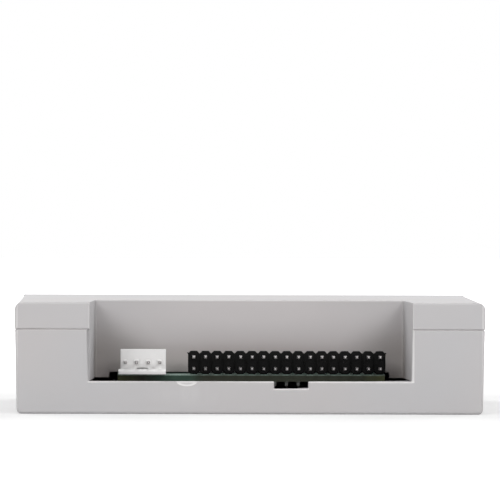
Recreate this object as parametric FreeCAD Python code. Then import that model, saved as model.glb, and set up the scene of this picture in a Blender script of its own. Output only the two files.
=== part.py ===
import FreeCAD, Part
import math
import os

V = FreeCAD.Vector

# The case: a low plastic box that fills a 3.5 inch drive bay. X is the width, Y runs from the
# front panel to the rear, Z is up. The origin is under the middle of the whole length.
bay_width = 101.6            # across the top of the front panel
case_depth = 126.0           # front panel's face to rear face
case_height = 24.1
seam_height = 18.2           # where the cover sits on the tray
wall = 2.0
panel_thickness = 2.5
side_draft = 1.3             # degrees, the tray narrows towards its base
rear_draft = 0.8
foot_radius = 1.1            # along the lower edges
rear_bevel = 0.4             # round the outline of the rear
cover_width = 101.5
cover_front_radius = 0.6     # the cover's long edges are rounder towards the rear
cover_rear_radius = 1.7
panel_gap = 0.15             # between the cover and the back of the front panel
cover_bevel = 0.2            # along the cover's lower edge
seam_gap = 0.12              # shadow line all round under the cover
seam_gap_depth = 0.5
panel_bevel = 0.25           # round the outline of the front panel
edge_bevel = 0.25            # round the openings in the rear and front walls
root = 0.5                   # how far ribs, posts and hooks reach into the wall they grow from
rib = 1.2                    # thickness of the ribs

# Indicator lamps: two 3 mm domes that stand a little out of the front panel.
lens_reach = 0.8
lamp_height = 19.35
lamp_places = {"red": 17.1, "green": 24.85}
lamp_hole = 3.4
lens_radius = 1.5
lens_length = 5.3
lead_side = 0.5
lead_pitch = 2.54
lead_bend = 2.4              # the leads turn down this far behind the lens

front_y = -(case_depth + lens_reach) / 2 + lens_reach
rear_y = front_y + case_depth
panel_back = front_y + panel_thickness
lead_tail_y = front_y - lens_reach + lens_length + lead_bend

# The open recess in the rear, where the cables plug in.
recess_middle = -0.25
recess_rear_width = 69.7
recess_back_width = 67.8
recess_depth = 35.0
recess_radius = 0.5
recess_back = rear_y - recess_depth
skirt = 1.8                  # thickness of the cover's wall round the recess
skirt_bottom = 7.1
slot_width = 61.5            # the board passes under this part of the skirt
slot_top = 8.95
rear_wall_top = 7.05         # the tray's low wall under the recess
rear_notch_foot = 69.6
rear_notch_head = 70.2
key_middle = -8.9            # notch for the polarising key of the ribbon cable's plug
key_width = 7.35
key_depth = 1.58
scar_middle = 13.6           # scoop left where the moulding's gate was broken off
scar_width = 4.9
scar_drop = 0.9
scar_depth = 1.0

# The circuit board.
board_width = 58.4
board_middle = -0.6
board_bottom = 6.45
board_thickness = 1.6
board_top = board_bottom + board_thickness
board_front = front_y + 3.6
board_rear = rear_y - 25.2
tail_end = board_bottom - 1.25   # how low the soldered tails reach
board_screw_hole = 1.6
screw_head_radius = 2.5
screw_head_height = 1.7
screw_length = 4.4           # below the board
board_screw_places = [(-26.3, 21.5), (25.1, 21.5)]
board_hook_places = [-24.0, 21.0]   # hooks that hold the board's front edge
board_hook_width = 7.0
board_hook_grip = 1.2
board_post_side = 6.0
long_rib_places = (-35.0, 35.0)
cross_rib_places = (-46.0, -12.0, 21.5)
gusset_places = (-40.0, 40.0)
gusset_width = 1.4
gusset_reach = 8.0
gusset_height = 14.0
buttress_places = (-25.0, 3.5, 20.5)
panel_tab_places = (-36.0, 38.0)
panel_tab_width = 8.0
panel_tab_reach = 1.8
pilot_radius = 1.3

# Signal header, 2 rows of 17 pins, and power header, 4 pins, both with the pins lying along Y.
pitch = 2.54
pin_side = 0.64
pin_point = 0.2
signal_columns = 17
signal_middle = -8.35
signal_depth = 2.54
signal_rear = rear_y - 25.4
signal_tip = rear_y - 19.4
segment_bevel = 0.58
power_middle = 23.2
power_pitch = 2.5
power_ways = 4
power_plate_middle = 23.05
power_plate_width = 9.95
power_depth = 2.5
power_height = 5.42
power_pin_height = board_top + 2.6
power_tip = rear_y - 20.0
power_ledge_height = 1.1
power_ledge_reach = 4.6      # the guide ledge runs this far under the pins
power_ledge_overhang = 0.45
power_tail_y = signal_rear - power_depth - 1.6
power_slit = (2.4, 0.25)     # gap between the plate and the ledge, seen from the rear

# Memory stick socket in the front panel.
socket_height = 12.0
socket_hole_width = 15.0
socket_hole_height = 7.5
socket_hole_radius = 1.9
mouth_width = 12.5
mouth_height = 5.12
sheet = 0.3
shell_front = front_y + 1.0
shell_back = front_y + 13.1
tongue_width = 10.8
tongue_low = socket_height + 0.28
tongue_thickness = 1.84
contact_places = [-3.5, -1.0, 1.0, 3.5]
contact_width = 1.1
contact_sheet = 0.25
contact_tail_y = shell_back + 1.75
tab_middle_y = front_y + 7.2
tab_length = 2.2
spring_places = [-3.2, 3.2]
spring_width = 2.4
spring_window = (front_y + 2.3, front_y + 9.2)
lip_width = 10.9             # of the mouth's flared upper lip
side_lip_height = 4.0
fold_gap = 0.3               # where the shell's two ends meet underneath
insulator_width = 12.4

# Holes that fasten the drive in a bay: thread-cutting M3 screws go into plain bosses.
bay_hole_radius = 1.3
bay_hole_depth = 7.0
boss_width = 7.0
boss_inner = 41.5            # how near to the middle the bosses reach
side_hole_height = 5.0
side_hole_places = [front_y + 21.0, front_y + 111.0]
base_hole_places = [(x, front_y + y) for x in (-45.0, 45.0) for y in (31.0, 101.0)]

# Latches between the cover and the tray.
latch_places = [-38.0, 2.0, 40.0]
latch_width = 6.0
latch_inner = 46.7           # the hooks' sides and nose, by their distance from the middle
latch_outer = 48.2
latch_nose = 49.0
latch_foot = 12.4
lip_inner = 48.4
lip_outer = 49.45
lip_drop = 1.4               # how far the cover's lips hang down into the tray
cover_rib_height = 1.6
cover_rib_places = (-30.0, -6.0, 18.0)
cover_rib_length = 93.0

# Parts on the board, by the middle of each. Sizes are along X, along Y and upwards, legs are
# given by width, reach and thickness.
controller_place = (2.0, -22.0)
controller_size = (7.0, 7.0, 1.4)
controller_leg = (0.22, 1.0, 0.13)
controller_leg_pitch = 0.5
memory_place = (18.0, -22.0)
memory_size = (4.9, 3.9, 1.5)
buffer_places = [(-16.0, -4.0), (-2.0, -4.0)]
buffer_size = (8.7, 3.9, 1.5)
small_leg = (0.42, 1.05, 0.2)
small_leg_pitch = 1.27
regulator_place = (-18.0, -51.0)
regulator_size = (6.5, 3.5, 1.6)
regulator_leg = (0.7, 1.75, 0.26)
regulator_tab = (3.0, 1.75, 0.26)
regulator_leg_pitch = 2.3
chip_lift = 0.1              # chips stand this far off the board
fuse_place = (-11.0, -54.0)
fuse_size = (4.5, 3.2, 1.1)
crystal_place = (-15.0, -27.0)
crystal_size = (10.8, 4.4, 3.5)
crystal_lead_pitch = 4.88
capacitor_place = (-12.0, -43.0)
capacitor_radius = 3.15
capacitor_base_height = 1.2
capacitor_can_height = 6.2
resistor_places = [(-21.0 + 3.6 * i, 11.0) for i in range(8)]
resistor_size = (1.25, 2.0, 0.55)
small_capacitor_places = [(x, y) for x in (-7.5, 11.5) for y in (-28.0, -24.0, -20.0, -16.0)]
small_capacitor_size = (2.0, 1.25, 0.9)

# Upright pins: 4 in a row for programming, and 3 columns of 2 for the jumper caps.
programming_x = -25.6
programming_y = -20.0
programming_ways = 4
jumper_places = [16.0, 18.54, 21.08]
jumper_y = 6.0
pin_top = board_top + pitch + 5.6
cap_places = {"drive_select_cap": 16.0, "disk_ready_cap": 21.08}
cap_width = 2.3
cap_length = 4.9
cap_headroom = 0.7           # above the pins
cap_grip = (0.25, 2.2, 1.2)  # hollow in each side to hold the cap by: depth, length, height


# Helpers

def about(middle, size):
    return (middle - size / 2, middle + size / 2)


def mirrored(low, high, side):
    # the span from low to high, on the +X side or on the -X side
    return (low, high) if side > 0 else (-high, -low)


def near(a, b):
    return abs(a - b) < 1e-4


def block(x_span, y_span, z_span):
    corner = V(x_span[0], y_span[0], z_span[0])
    return Part.makeBox(x_span[1] - x_span[0], y_span[1] - y_span[0], z_span[1] - z_span[0], corner)


def tapered_block(low, high, z_span):
    # low and high are the (x_span, y_span) rectangles at the two ends of z_span
    (low_x, low_y), (high_x, high_y) = low, high
    shape = Part.makeWedge(
        low_x[0], z_span[0], -low_y[1], -high_y[1], high_x[0],
        low_x[1], z_span[1], -low_y[0], -high_y[0], high_x[1],
    )
    shape.rotate(V(0, 0, 0), V(1, 0, 0), 90)
    return shape


def bar_along_x(outline, x_span):
    # outline is a list of (y, z) points
    points = [V(x_span[0], y, z) for y, z in outline]
    face = Part.Face(Part.makePolygon(points + points[:1]))
    return face.extrude(V(x_span[1] - x_span[0], 0, 0))


def bar_along_y(outline, y_span):
    # outline is a list of (x, z) points
    points = [V(x, y_span[0], z) for x, z in outline]
    face = Part.Face(Part.makePolygon(points + points[:1]))
    return face.extrude(V(0, y_span[1] - y_span[0], 0))


def post(x, y, z_span, radius):
    return Part.makeCylinder(radius, z_span[1] - z_span[0], V(x, y, z_span[0]))


def is_upright(edge):
    low, high = edge.Vertexes[0].Point, edge.Vertexes[-1].Point
    return abs(high.z - low.z) > 0.1 and math.hypot(high.x - low.x, high.y - low.y) < abs(high.z - low.z)


def edges_where(shape, test):
    return [e for e in shape.Edges if all(test(v.Point) for v in e.Vertexes)]


def joined(shapes):
    return shapes[0].fuse(shapes[1:]).removeSplitter()


def cut_by(shape, tools):
    return shape.cut(Part.makeCompound(tools)).removeSplitter()


def rounded_channel(width, height, y_span, radius):
    # a block along Y at the socket's height, with its four long edges rounded
    shape = block(about(0, width), y_span, about(socket_height, height))
    long_edges = [e for e in shape.Edges if near(e.BoundBox.YLength, y_span[1] - y_span[0])]
    return shape.makeFillet(radius, long_edges)


def tray_width(height):
    return bay_width - 2 * (case_height - height) * math.tan(math.radians(side_draft))


def rear_face(height):
    return rear_y - (seam_height - height) * math.tan(math.radians(rear_draft))


def recess_plan(margin, end_y, z_span):
    # the recess seen from above, widened by the margin and running to end_y
    slope = (recess_rear_width - recess_back_width) / 2 / recess_depth
    start_y = recess_back - margin
    near_half = recess_back_width / 2 + margin
    far_half = near_half + slope * (end_y - recess_back)
    plan = [
        V(recess_middle - far_half, end_y, z_span[0]),
        V(recess_middle + far_half, end_y, z_span[0]),
        V(recess_middle + near_half, start_y, z_span[0]),
        V(recess_middle - near_half, start_y, z_span[0]),
    ]
    return Part.Face(Part.makePolygon(plan + plan[:1])).extrude(V(0, 0, z_span[1] - z_span[0]))


# Bottom tray: floor, sides, low rear wall and the full-height front panel in one moulding

def tray_outside():
    box = tapered_block(
        (about(0, tray_width(0)), (front_y, rear_face(0))),
        (about(0, tray_width(seam_height)), (front_y, rear_y)),
        (0, seam_height),
    )
    panel = tapered_block(
        (about(0, tray_width(0)), (front_y, panel_back)),
        (about(0, tray_width(case_height)), (front_y, panel_back)),
        (0, case_height),
    )
    body = joined([box, panel])
    long_edges = [e for e in edges_where(body, lambda p: near(p.z, 0)) if e.BoundBox.YLength > case_depth / 2]
    body = body.makeFillet(foot_radius, long_edges)
    body = body.makeChamfer(panel_bevel, edges_where(body, lambda p: near(p.y, front_y)))
    rear = [e for e in edges_where(body, on_rear_face) if e.BoundBox.ZMin < seam_height - 1]
    body = body.makeChamfer(rear_bevel, rear)
    return body.cut(seam_groove())


def on_rear_face(p):
    return near(p.y, rear_face(p.z))


def seam_groove():
    # the rim's outer edge lies a little lower, for a shadow line under the cover
    z_span = (seam_height - seam_gap, seam_height + 1)
    ring = block(about(0, bay_width + 2), (panel_back, rear_y + 1), z_span)
    rim = about(0, tray_width(seam_height) - 2 * seam_gap_depth)
    return ring.cut(block(rim, (panel_back - 1, rear_y - seam_gap_depth), z_span))


def tray_hollow():
    low_width = tray_width(wall) - 2 * wall
    high_width = tray_width(seam_height) - 2 * wall
    return tapered_block(
        (about(0, low_width), (panel_back, rear_face(wall) - wall)),
        (about(0, high_width), (panel_back, rear_y - wall)),
        (wall, seam_height + 1),
    )


def bay_bosses():
    # square bosses that grow out of the side walls
    tops = {y: bay_hole_depth + wall for _, y in base_hole_places}
    tops.update({y: side_hole_height + boss_width / 2 for y in side_hole_places})
    return [
        block(mirrored(boss_inner, bay_width / 2 - wall, side), about(y, boss_width), (wall - root, top))
        for y, top in tops.items()
        for side in (-1, 1)
    ]


def bay_holes():
    holes = [post(x, y, (-1, bay_hole_depth), bay_hole_radius) for x, y in base_hole_places]
    for y in side_hole_places:
        for side in (-1, 1):
            start = V(side * (tray_width(side_hole_height) / 2 + 1), y, side_hole_height)
            holes.append(Part.makeCylinder(bay_hole_radius, bay_hole_depth + 1, start, V(-side, 0, 0)))
    return holes


def tray_ribs():
    foot, start = wall - root, panel_back - root
    ribs = [block(about(x, rib), (start, recess_back - 4), (foot, wall + 2.4)) for x in long_rib_places]
    ribs += [block(about(board_middle, board_width - 4), about(y, rib), (foot, wall + 1.8))
             for y in cross_rib_places]
    gusset = [
        (start, foot),
        (panel_back + gusset_reach, foot),
        (panel_back + gusset_reach, wall + root),
        (start, wall + gusset_height),
    ]
    return ribs + [bar_along_x(gusset, about(x, gusset_width)) for x in gusset_places]


def board_hooks():
    # at the front the board lies on two ledges, under a hook on each
    start = panel_back - root
    ledge = [(start, wall - root), (board_front + 2, wall - root), (board_front + 2, board_bottom),
             (start, board_bottom)]
    grip = board_front + board_hook_grip
    hook = [(start, board_top), (grip, board_top), (grip, board_top + 0.7), (start, board_top + 2.4)]
    return [bar_along_x(outline, about(x, board_hook_width))
            for outline in (ledge, hook) for x in board_hook_places]


def board_posts():
    foot, top = board_post_side + 0.8, board_post_side
    return [tapered_block((about(x, foot), about(y, foot)), (about(x, top), about(y, top)),
                          (wall - root, board_bottom)) for x, y in board_screw_places]


def plug_buttresses():
    # ribs between the low rear wall and the board's rear edge take the push of the plugs
    step = board_bottom - 2
    rear = rear_y - wall
    outline = [
        (board_rear - 3, wall - root),
        (rear, wall - root),
        (rear, rear_wall_top - 1.5),
        (rear - 3, step),
        (board_rear + 2, step),
        (board_rear - 1, board_bottom),
        (board_rear - 3, board_bottom),
    ]
    return [bar_along_x(outline, about(x, rib)) for x in buttress_places]


def panel_tabs():
    # two tabs behind the panel hold the cover's front edge down
    top = case_height - wall - panel_gap
    start, end = panel_back - root, panel_back + panel_tab_reach
    outline = [(start, top - 2.2), (start, top), (end, top), (end, top - 0.9)]
    return [bar_along_x(outline, about(x, panel_tab_width)) for x in panel_tab_places]


def panel_holes():
    through = (front_y - 1, panel_back + 1)
    socket = rounded_channel(socket_hole_width, socket_hole_height, through, socket_hole_radius)
    lamps = [
        Part.makeCylinder(lamp_hole / 2, through[1] - through[0], V(x, through[0], lamp_height), V(0, 1, 0))
        for x in lamp_places.values()
    ]
    return [socket] + lamps


def latch_pockets():
    return [
        block(mirrored(latch_inner - 0.7, latch_nose + 0.4, side), about(y, latch_width + 1),
              (latch_foot - 0.2, latch_foot + 2.5))
        for y in latch_places
        for side in (-1, 1)
    ]


def lip_rebates():
    # the upper inner edge of both sides is stepped back for the cover's lip
    return [
        block(mirrored(lip_inner - 0.9, lip_outer + 0.15, side), (panel_back, rear_y - wall),
              (seam_height - lip_drop - 0.1, seam_height + 1))
        for side in (-1, 1)
    ]


def rear_opening():
    # the low stretch of the rear wall, with leaning sides and a notch for the plug's key
    y_span = (rear_y - wall - 0.6, rear_y + 1)
    opening = tapered_block(
        (about(0, rear_notch_foot), y_span),
        (about(0, rear_notch_head), y_span),
        (rear_wall_top, seam_height + 1),
    )
    notch = block(about(key_middle, key_width), y_span, (rear_wall_top - key_depth, rear_wall_top + 1))
    return [opening, notch]


def opening_edges(tray):
    foot = rear_wall_top - key_depth - 0.1
    reach = rear_notch_head / 2 + 0.1
    return edges_where(tray, lambda p: on_rear_face(p) and p.z > foot and abs(p.x) < reach)


def gate_scar():
    # a ball that leaves an arc of scar_width by scar_drop in the rear face
    arc_radius = (scar_width ** 2 / 4 + scar_drop ** 2) / (2 * scar_drop)
    rise = arc_radius - scar_drop
    out = (arc_radius ** 2 - rise ** 2 - scar_depth ** 2) / (2 * scar_depth)
    middle = V(scar_middle, rear_face(rear_wall_top) + out, rear_wall_top + rise)
    return Part.makeSphere(math.hypot(arc_radius, out), middle)


def socket_rim(tray):
    reach = socket_hole_width / 2 + 0.1
    foot = socket_height - socket_hole_height / 2 - 0.1
    return edges_where(tray, lambda p: near(p.y, front_y) and abs(p.x) < reach and p.z > foot)


def make_bottom_tray():
    pilots = [post(x, y, (1.0, board_bottom + 1), pilot_radius) for x, y in board_screw_places]
    inside = bay_bosses() + board_posts() + board_hooks() + tray_ribs() + plug_buttresses() + panel_tabs()
    tray = joined([tray_outside().cut(tray_hollow())] + inside)
    tray = cut_by(tray, bay_holes() + pilots + panel_holes() + latch_pockets() + lip_rebates())
    tray = cut_by(tray, rear_opening())
    tray = tray.makeChamfer(edge_bevel, opening_edges(tray))
    tray = tray.makeChamfer(edge_bevel, socket_rim(tray))
    return tray.cut(gate_scar())


# Top cover: a shallow lid with the rear recess and its hanging skirt

def cover_section(y, radius, inset):
    # the cover's outline at y, drawn in by the inset at its top and sides
    half, low, high = cover_width / 2 - inset, seam_height + inset / 2, case_height - inset
    swing = radius * (1 - math.sqrt(0.5))
    right = [
        V(half - cover_bevel, y, low),
        V(half, y, low + cover_bevel),
        V(half, y, high - radius),
        V(half - swing, y, high - swing),
        V(half - radius, y, high),
    ]
    left = [V(-p.x, y, p.z) for p in right]
    curves = [
        Part.LineSegment(left[0], right[0]),
        Part.LineSegment(right[0], right[1]),
        Part.LineSegment(right[1], right[2]),
        Part.Arc(right[2], right[3], right[4]),
        Part.LineSegment(right[4], left[4]),
        Part.Arc(left[4], left[3], left[2]),
        Part.LineSegment(left[2], left[1]),
        Part.LineSegment(left[1], left[0]),
    ]
    return Part.Wire([c.toShape() for c in curves])


def cover_outside():
    sections = [
        cover_section(panel_back + panel_gap, cover_front_radius, 0),
        cover_section(rear_y - rear_bevel, cover_rear_radius, 0),
        cover_section(rear_y, cover_rear_radius - rear_bevel, rear_bevel),
    ]
    return Part.makeLoft(sections, True, True)


def cover_hollow():
    return block(about(0, cover_width - 2 * wall), (panel_back - 1, rear_y - wall),
                 (seam_height - 1, case_height - wall))


def skirt_walls():
    hanging = recess_plan(skirt, rear_y - wall - 0.25, (skirt_bottom, seam_height))
    upper = recess_plan(skirt, rear_y - wall / 2, (seam_height, case_height - wall / 2))
    return [hanging, upper]


def cover_lips():
    return [
        block(mirrored(lip_inner, lip_outer, side), (panel_back + 1, rear_y - wall - 0.3),
              (seam_height - lip_drop, seam_height + 1.5))
        for side in (-1, 1)
    ]


def cover_latches():
    # hooks that hang from the cover and snap into pockets in the tray's sides
    ceiling = case_height - wall + root
    outline = [
        (latch_inner, ceiling),
        (latch_inner, latch_foot + 0.4),
        (latch_inner + 0.5, latch_foot),
        (latch_outer + 0.1, latch_foot),
        (latch_nose, latch_foot + 1.2),
        (latch_nose, latch_foot + 2.1),
        (latch_outer, latch_foot + 2.3),
        (latch_outer, ceiling),
    ]
    return [
        bar_along_y([(side * x, z) for x, z in outline], about(y, latch_width))
        for y in latch_places
        for side in (-1, 1)
    ]


def cover_ribs():
    ceiling = case_height - wall
    z_span = (ceiling - cover_rib_height, ceiling + root)
    across = [block(about(0, cover_rib_length), about(y, rib), z_span) for y in cover_rib_places]
    along = [block(about(x, rib), (panel_back + 10, recess_back - 1), z_span) for x in gusset_places]
    return across + along


def recess_space():
    space = recess_plan(0, rear_y + 2, (0, case_height + 5))
    corners = [e for e in space.Edges if is_upright(e) and near(e.BoundBox.YMin, recess_back)]
    return space.makeFillet(recess_radius, corners)


def make_top_cover():
    cover = cover_outside().cut(cover_hollow())
    cover = joined([cover] + skirt_walls() + cover_lips() + cover_latches() + cover_ribs())
    slot = block(about(recess_middle, slot_width), (recess_back - skirt - 1, recess_back + 1),
                 (skirt_bottom - 1, slot_top))
    return cut_by(cover, [recess_space(), slot])


# Circuit board, with a hole for everything that passes through it

def signal_columns_x():
    start = signal_middle - pitch * (signal_columns - 1) / 2
    return [start + pitch * i for i in range(signal_columns)]


def signal_rows():
    # (height of the row, where its tails turn down), lower row first
    front = signal_rear - signal_depth
    return [(board_top + pitch / 2, front - 1.56), (board_top + 1.5 * pitch, front - 1.56 - pitch)]


def power_columns_x():
    start = power_middle - power_pitch * (power_ways - 1) / 2
    return [start + power_pitch * i for i in range(power_ways)]


def lamp_lead_x(lamp):
    return [lamp_places[lamp] + side * lead_pitch / 2 for side in (-1, 1)]


def programming_pins():
    middle = (programming_ways - 1) / 2
    return [(programming_x, programming_y + pitch * (i - middle)) for i in range(programming_ways)]


def jumper_pins():
    return [(x, jumper_y + side * pitch / 2) for x in jumper_places for side in (-1, 1)]


def crystal_leads():
    x, y = crystal_place
    return [(x + side * crystal_lead_pitch / 2, y) for side in (-1, 1)]


def through_board(x, y, width, length):
    return block(about(x, width), about(y, length), (board_bottom - 1, board_top + 1))


def make_main_board():
    plate = block(about(board_middle, board_width), (board_front, board_rear), (board_bottom, board_top))
    square = [(x, y) for x in signal_columns_x() for _, y in signal_rows()]
    square += [(x, power_tail_y) for x in power_columns_x()]
    square += programming_pins() + jumper_pins()
    holes = [through_board(x, y, pin_side, pin_side) for x, y in square]
    holes += [through_board(x, contact_tail_y, contact_width, contact_sheet) for x in contact_places]
    holes += [through_board(side * (mouth_width + sheet) / 2, tab_middle_y, sheet, tab_length)
              for side in (-1, 1)]
    holes += [through_board(x, lead_tail_y, lead_side, lead_side)
              for lamp in lamp_places for x in lamp_lead_x(lamp)]
    holes += [through_board(x, y, lead_side, lead_side) for x, y in crystal_leads()]
    holes += [post(x, y, (board_bottom - 1, board_top + 1), board_screw_hole) for x, y in board_screw_places]
    return cut_by(plate, holes)


def make_board_screws():
    screws = []
    for x, y in board_screw_places:
        head = post(x, y, (board_top, board_top + screw_head_height), screw_head_radius)
        shank = post(x, y, (board_bottom - screw_length, board_top + root), pilot_radius - 0.05)
        screws.append(joined([head, shank]))
    return Part.makeCompound(screws)


# Memory stick socket: folded steel shell, plastic tongue and four contacts

def flared_lip(inner):
    # (y, distance from the socket's middle) of a strip that flares out from the mouth's edge
    return [
        (shell_front + 0.3, inner),
        (shell_front, inner),
        (shell_front - 0.85, inner + 0.5),
        (shell_front - 0.7, inner + 0.82),
        (shell_front + 0.1, inner + sheet),
        (shell_front + 0.3, inner + sheet),
    ]


def mouth_lips():
    across = flared_lip(mouth_height / 2)
    upper = [(y, socket_height + out) for y, out in across]
    lower = [(y, socket_height - out) for y, out in across]
    lips = [bar_along_x(upper, about(0, lip_width))]
    for side in (-1, 1):
        lips.append(bar_along_x(lower, mirrored(0.2, lip_width / 2, side)))
        low = socket_height - side_lip_height / 2
        points = [V(side * out, y, low) for y, out in flared_lip(mouth_width / 2)]
        face = Part.Face(Part.makePolygon(points + points[:1]))
        lips.append(face.extrude(V(0, 0, side_lip_height)))
    return lips


def retaining_springs():
    # tongues of the shell's floor, raised towards the mouth to press on a plug
    floor = socket_height - mouth_height / 2
    root_y, bend_y, crest_y, end_y = (front_y + out for out in (9.4, 9.0, 4.4, 2.9))
    outline = [
        (root_y, floor - sheet),
        (root_y, floor),
        (bend_y, floor),
        (crest_y, floor + 0.75),
        (end_y, floor + 0.35),
        (end_y, floor + 0.1),
        (crest_y, floor + 0.5),
        (bend_y, floor - sheet),
    ]
    return [bar_along_x(outline, about(x, spring_width)) for x in spring_places]


def make_usb_shell():
    tube = rounded_channel(mouth_width + 2 * sheet, mouth_height + 2 * sheet, (shell_front, shell_back), 0.9)
    through = (shell_front - 1, shell_back + 1)
    bore = rounded_channel(mouth_width, mouth_height, through, 0.6)
    floor = (socket_height - mouth_height / 2 - 2 * sheet, socket_height - 2)
    windows = [block(about(x, spring_width + 0.8), spring_window, floor) for x in spring_places]
    fold = block(about(0, fold_gap), through, floor)
    tabs = [
        block(mirrored(mouth_width / 2, mouth_width / 2 + sheet, side), about(tab_middle_y, tab_length),
              (tail_end, socket_height - 1))
        for side in (-1, 1)
    ]
    shell = cut_by(tube, [bore, fold] + windows)
    return joined([shell] + mouth_lips() + retaining_springs() + tabs)


def usb_contact(x):
    # a strip under the tongue, bowed down where it meets the plug, with a tail through the board
    low, high = tongue_low - contact_sheet, tongue_low
    start, bow = front_y + 2.2, 0.35
    tail = about(contact_tail_y, contact_sheet)
    outline = [
        (start, high),
        (start, low),
        (start + 2.0, low - bow),
        (start + 4.0, low),
        (tail[0], low),
        (tail[0], tail_end),
        (tail[1], tail_end),
        (tail[1], high),
        (start + 4.2, high),
        (start + 2.0, high - bow),
        (start + 0.2, high),
    ]
    return bar_along_x(outline, about(x, contact_width))


def make_usb_contacts():
    return Part.makeCompound([usb_contact(x) for x in contact_places])


def make_usb_insulator():
    floor = socket_height - mouth_height / 2
    back_y = (shell_back - 2.6, shell_back + 0.2)
    back = block(about(0, mouth_width), back_y, about(socket_height, mouth_height))
    back = back.makeChamfer(0.6, [e for e in back.Edges if near(e.BoundBox.YLength, back_y[1] - back_y[0])])
    pocket_y = (shell_back - 4, shell_back - 1.2)
    pockets = [block(about(x, spring_width + 0.9), pocket_y, (floor - 0.1, floor + 2)) for x in spring_places]
    fold = block(about(0, fold_gap), (shell_back - 3, shell_back + 0.1), (floor - 1, floor))
    tongue = block(about(0, tongue_width), (front_y + 1.8, shell_back - 2),
                   (tongue_low, tongue_low + tongue_thickness))
    tongue = tongue.makeChamfer(0.3, edges_where(tongue, lambda p: near(p.y, front_y + 1.8)))
    upright = block(about(0, insulator_width), (shell_back, shell_back + 1.2), (board_top, socket_height + 3))
    base = block(about(0, insulator_width), (board_front, shell_back + 1), (board_top, floor - sheet))
    body = joined([cut_by(back, pockets + [fold]), tongue, upright, base])
    return body.cut(make_usb_contacts())


# Indicator lamps

def make_lens(lamp):
    tip = front_y - lens_reach
    end = tip + lens_length
    x = lamp_places[lamp]

    def at(radius, y):
        return V(x + radius, y, lamp_height)

    swing = lens_radius * math.sqrt(0.5)
    dome = Part.Arc(at(0, tip), at(swing, tip + lens_radius - swing), at(lens_radius, tip + lens_radius))
    straight = [at(lens_radius, tip + lens_radius), at(lens_radius, end), at(0, end), at(0, tip)]
    edges = [dome.toShape()] + [Part.LineSegment(a, b).toShape() for a, b in zip(straight, straight[1:])]
    return Part.Face(Part.Wire(edges)).revolve(at(0, 0), V(0, 1, 0), 360)


def make_lamp_leads(lamp):
    start = front_y - lens_reach + lens_length
    half = lead_side / 2
    outline = [
        (start, lamp_height + half),
        (start, lamp_height - half),
        (lead_tail_y - half, lamp_height - half),
        (lead_tail_y - half, tail_end),
        (lead_tail_y + half, tail_end),
        (lead_tail_y + half, lamp_height + half),
    ]
    return Part.makeCompound([bar_along_x(outline, about(x, lead_side)) for x in lamp_lead_x(lamp)])


# Signal header: a strip of bevelled segments, one for each pair of pins

def make_signal_header_body():
    low, high = board_top, board_top + 2 * pitch
    half = pitch / 2
    under, over = [], []
    for x in signal_columns_x():
        under += [(x - half, low + segment_bevel), (x - half + segment_bevel, low),
                  (x + half - segment_bevel, low)]
        over += [(x - half, high - segment_bevel), (x - half + segment_bevel, high),
                 (x + half - segment_bevel, high)]
    end = signal_columns_x()[-1] + half
    outline = under + [(end, low + segment_bevel), (end, high - segment_bevel)] + over[::-1]
    strip = bar_along_y(outline, (signal_rear - signal_depth, signal_rear))
    bores = [block(about(x, pin_side), (signal_rear - signal_depth - 1, signal_rear + 1), about(z, pin_side))
             for x in signal_columns_x() for z, _ in signal_rows()]
    return cut_by(strip, bores)


def bent_pin(x, height, tip, tail_y):
    # a square pin that lies along Y and turns down through the board
    half = pin_side / 2
    outline = [
        (tip, height - half + pin_point),
        (tip, height + half - pin_point),
        (tip - 2 * pin_point, height + half),
        (tail_y - half, height + half),
        (tail_y - half, tail_end),
        (tail_y + half, tail_end),
        (tail_y + half, height - half),
        (tip - 2 * pin_point, height - half),
    ]
    return bar_along_x(outline, about(x, pin_side))


def make_signal_header_pins():
    pins = [bent_pin(x, height, signal_tip, tail_y)
            for x in signal_columns_x() for height, tail_y in signal_rows()]
    return Part.makeCompound(pins)


# Power header: a white wall with a guide ledge under the pins

def make_power_header_body():
    rear, end = signal_rear, signal_rear + power_ledge_reach
    top = board_top + power_height
    ledge_top = board_top + power_ledge_height
    x_span = about(power_plate_middle, power_plate_width)
    plate = block(x_span, (rear - power_depth, rear), (board_top, top))
    plate = plate.makeFillet(0.3, edges_where(plate, lambda p: near(p.z, top)))
    ledge = block((x_span[0], x_span[1] + power_ledge_overhang), (rear - 1, end), (board_top, ledge_top))
    ledge = ledge.makeChamfer(0.4, edges_where(ledge, lambda p: near(p.y, end) and near(p.z, ledge_top)))
    slit_z = (ledge_top, ledge_top + power_slit[1])
    slit = block(about(power_middle, power_slit[0]), (rear - 0.8, rear + 1), slit_z)
    bores = [block(about(x, pin_side), (rear - power_depth - 1, rear + 1), about(power_pin_height, pin_side))
             for x in power_columns_x()]
    return cut_by(joined([plate, ledge]), [slit] + bores)


def make_power_header_pins():
    return Part.makeCompound([bent_pin(x, power_pin_height, power_tip, power_tail_y)
                              for x in power_columns_x()])


# Chips with legs on two or four sides

def chip_body(middle, size):
    x, y = middle
    low = board_top + chip_lift
    high = low + size[2]
    waist = (low + high) / 2
    wide = (about(x, size[0]), about(y, size[1]))
    narrow = (about(x, size[0] - 0.24), about(y, size[1] - 0.24))
    return joined([tapered_block(narrow, wide, (low, waist)), tapered_block(wide, narrow, (waist, high))])


def bevelled_chip(middle, size):
    # the upper edge over the first row of legs is bevelled
    body = chip_body(middle, size)
    top = body.BoundBox.ZMax
    return body.makeChamfer(0.3, edges_where(body, lambda p: near(p.z, top) and p.y < middle[1]))


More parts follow.
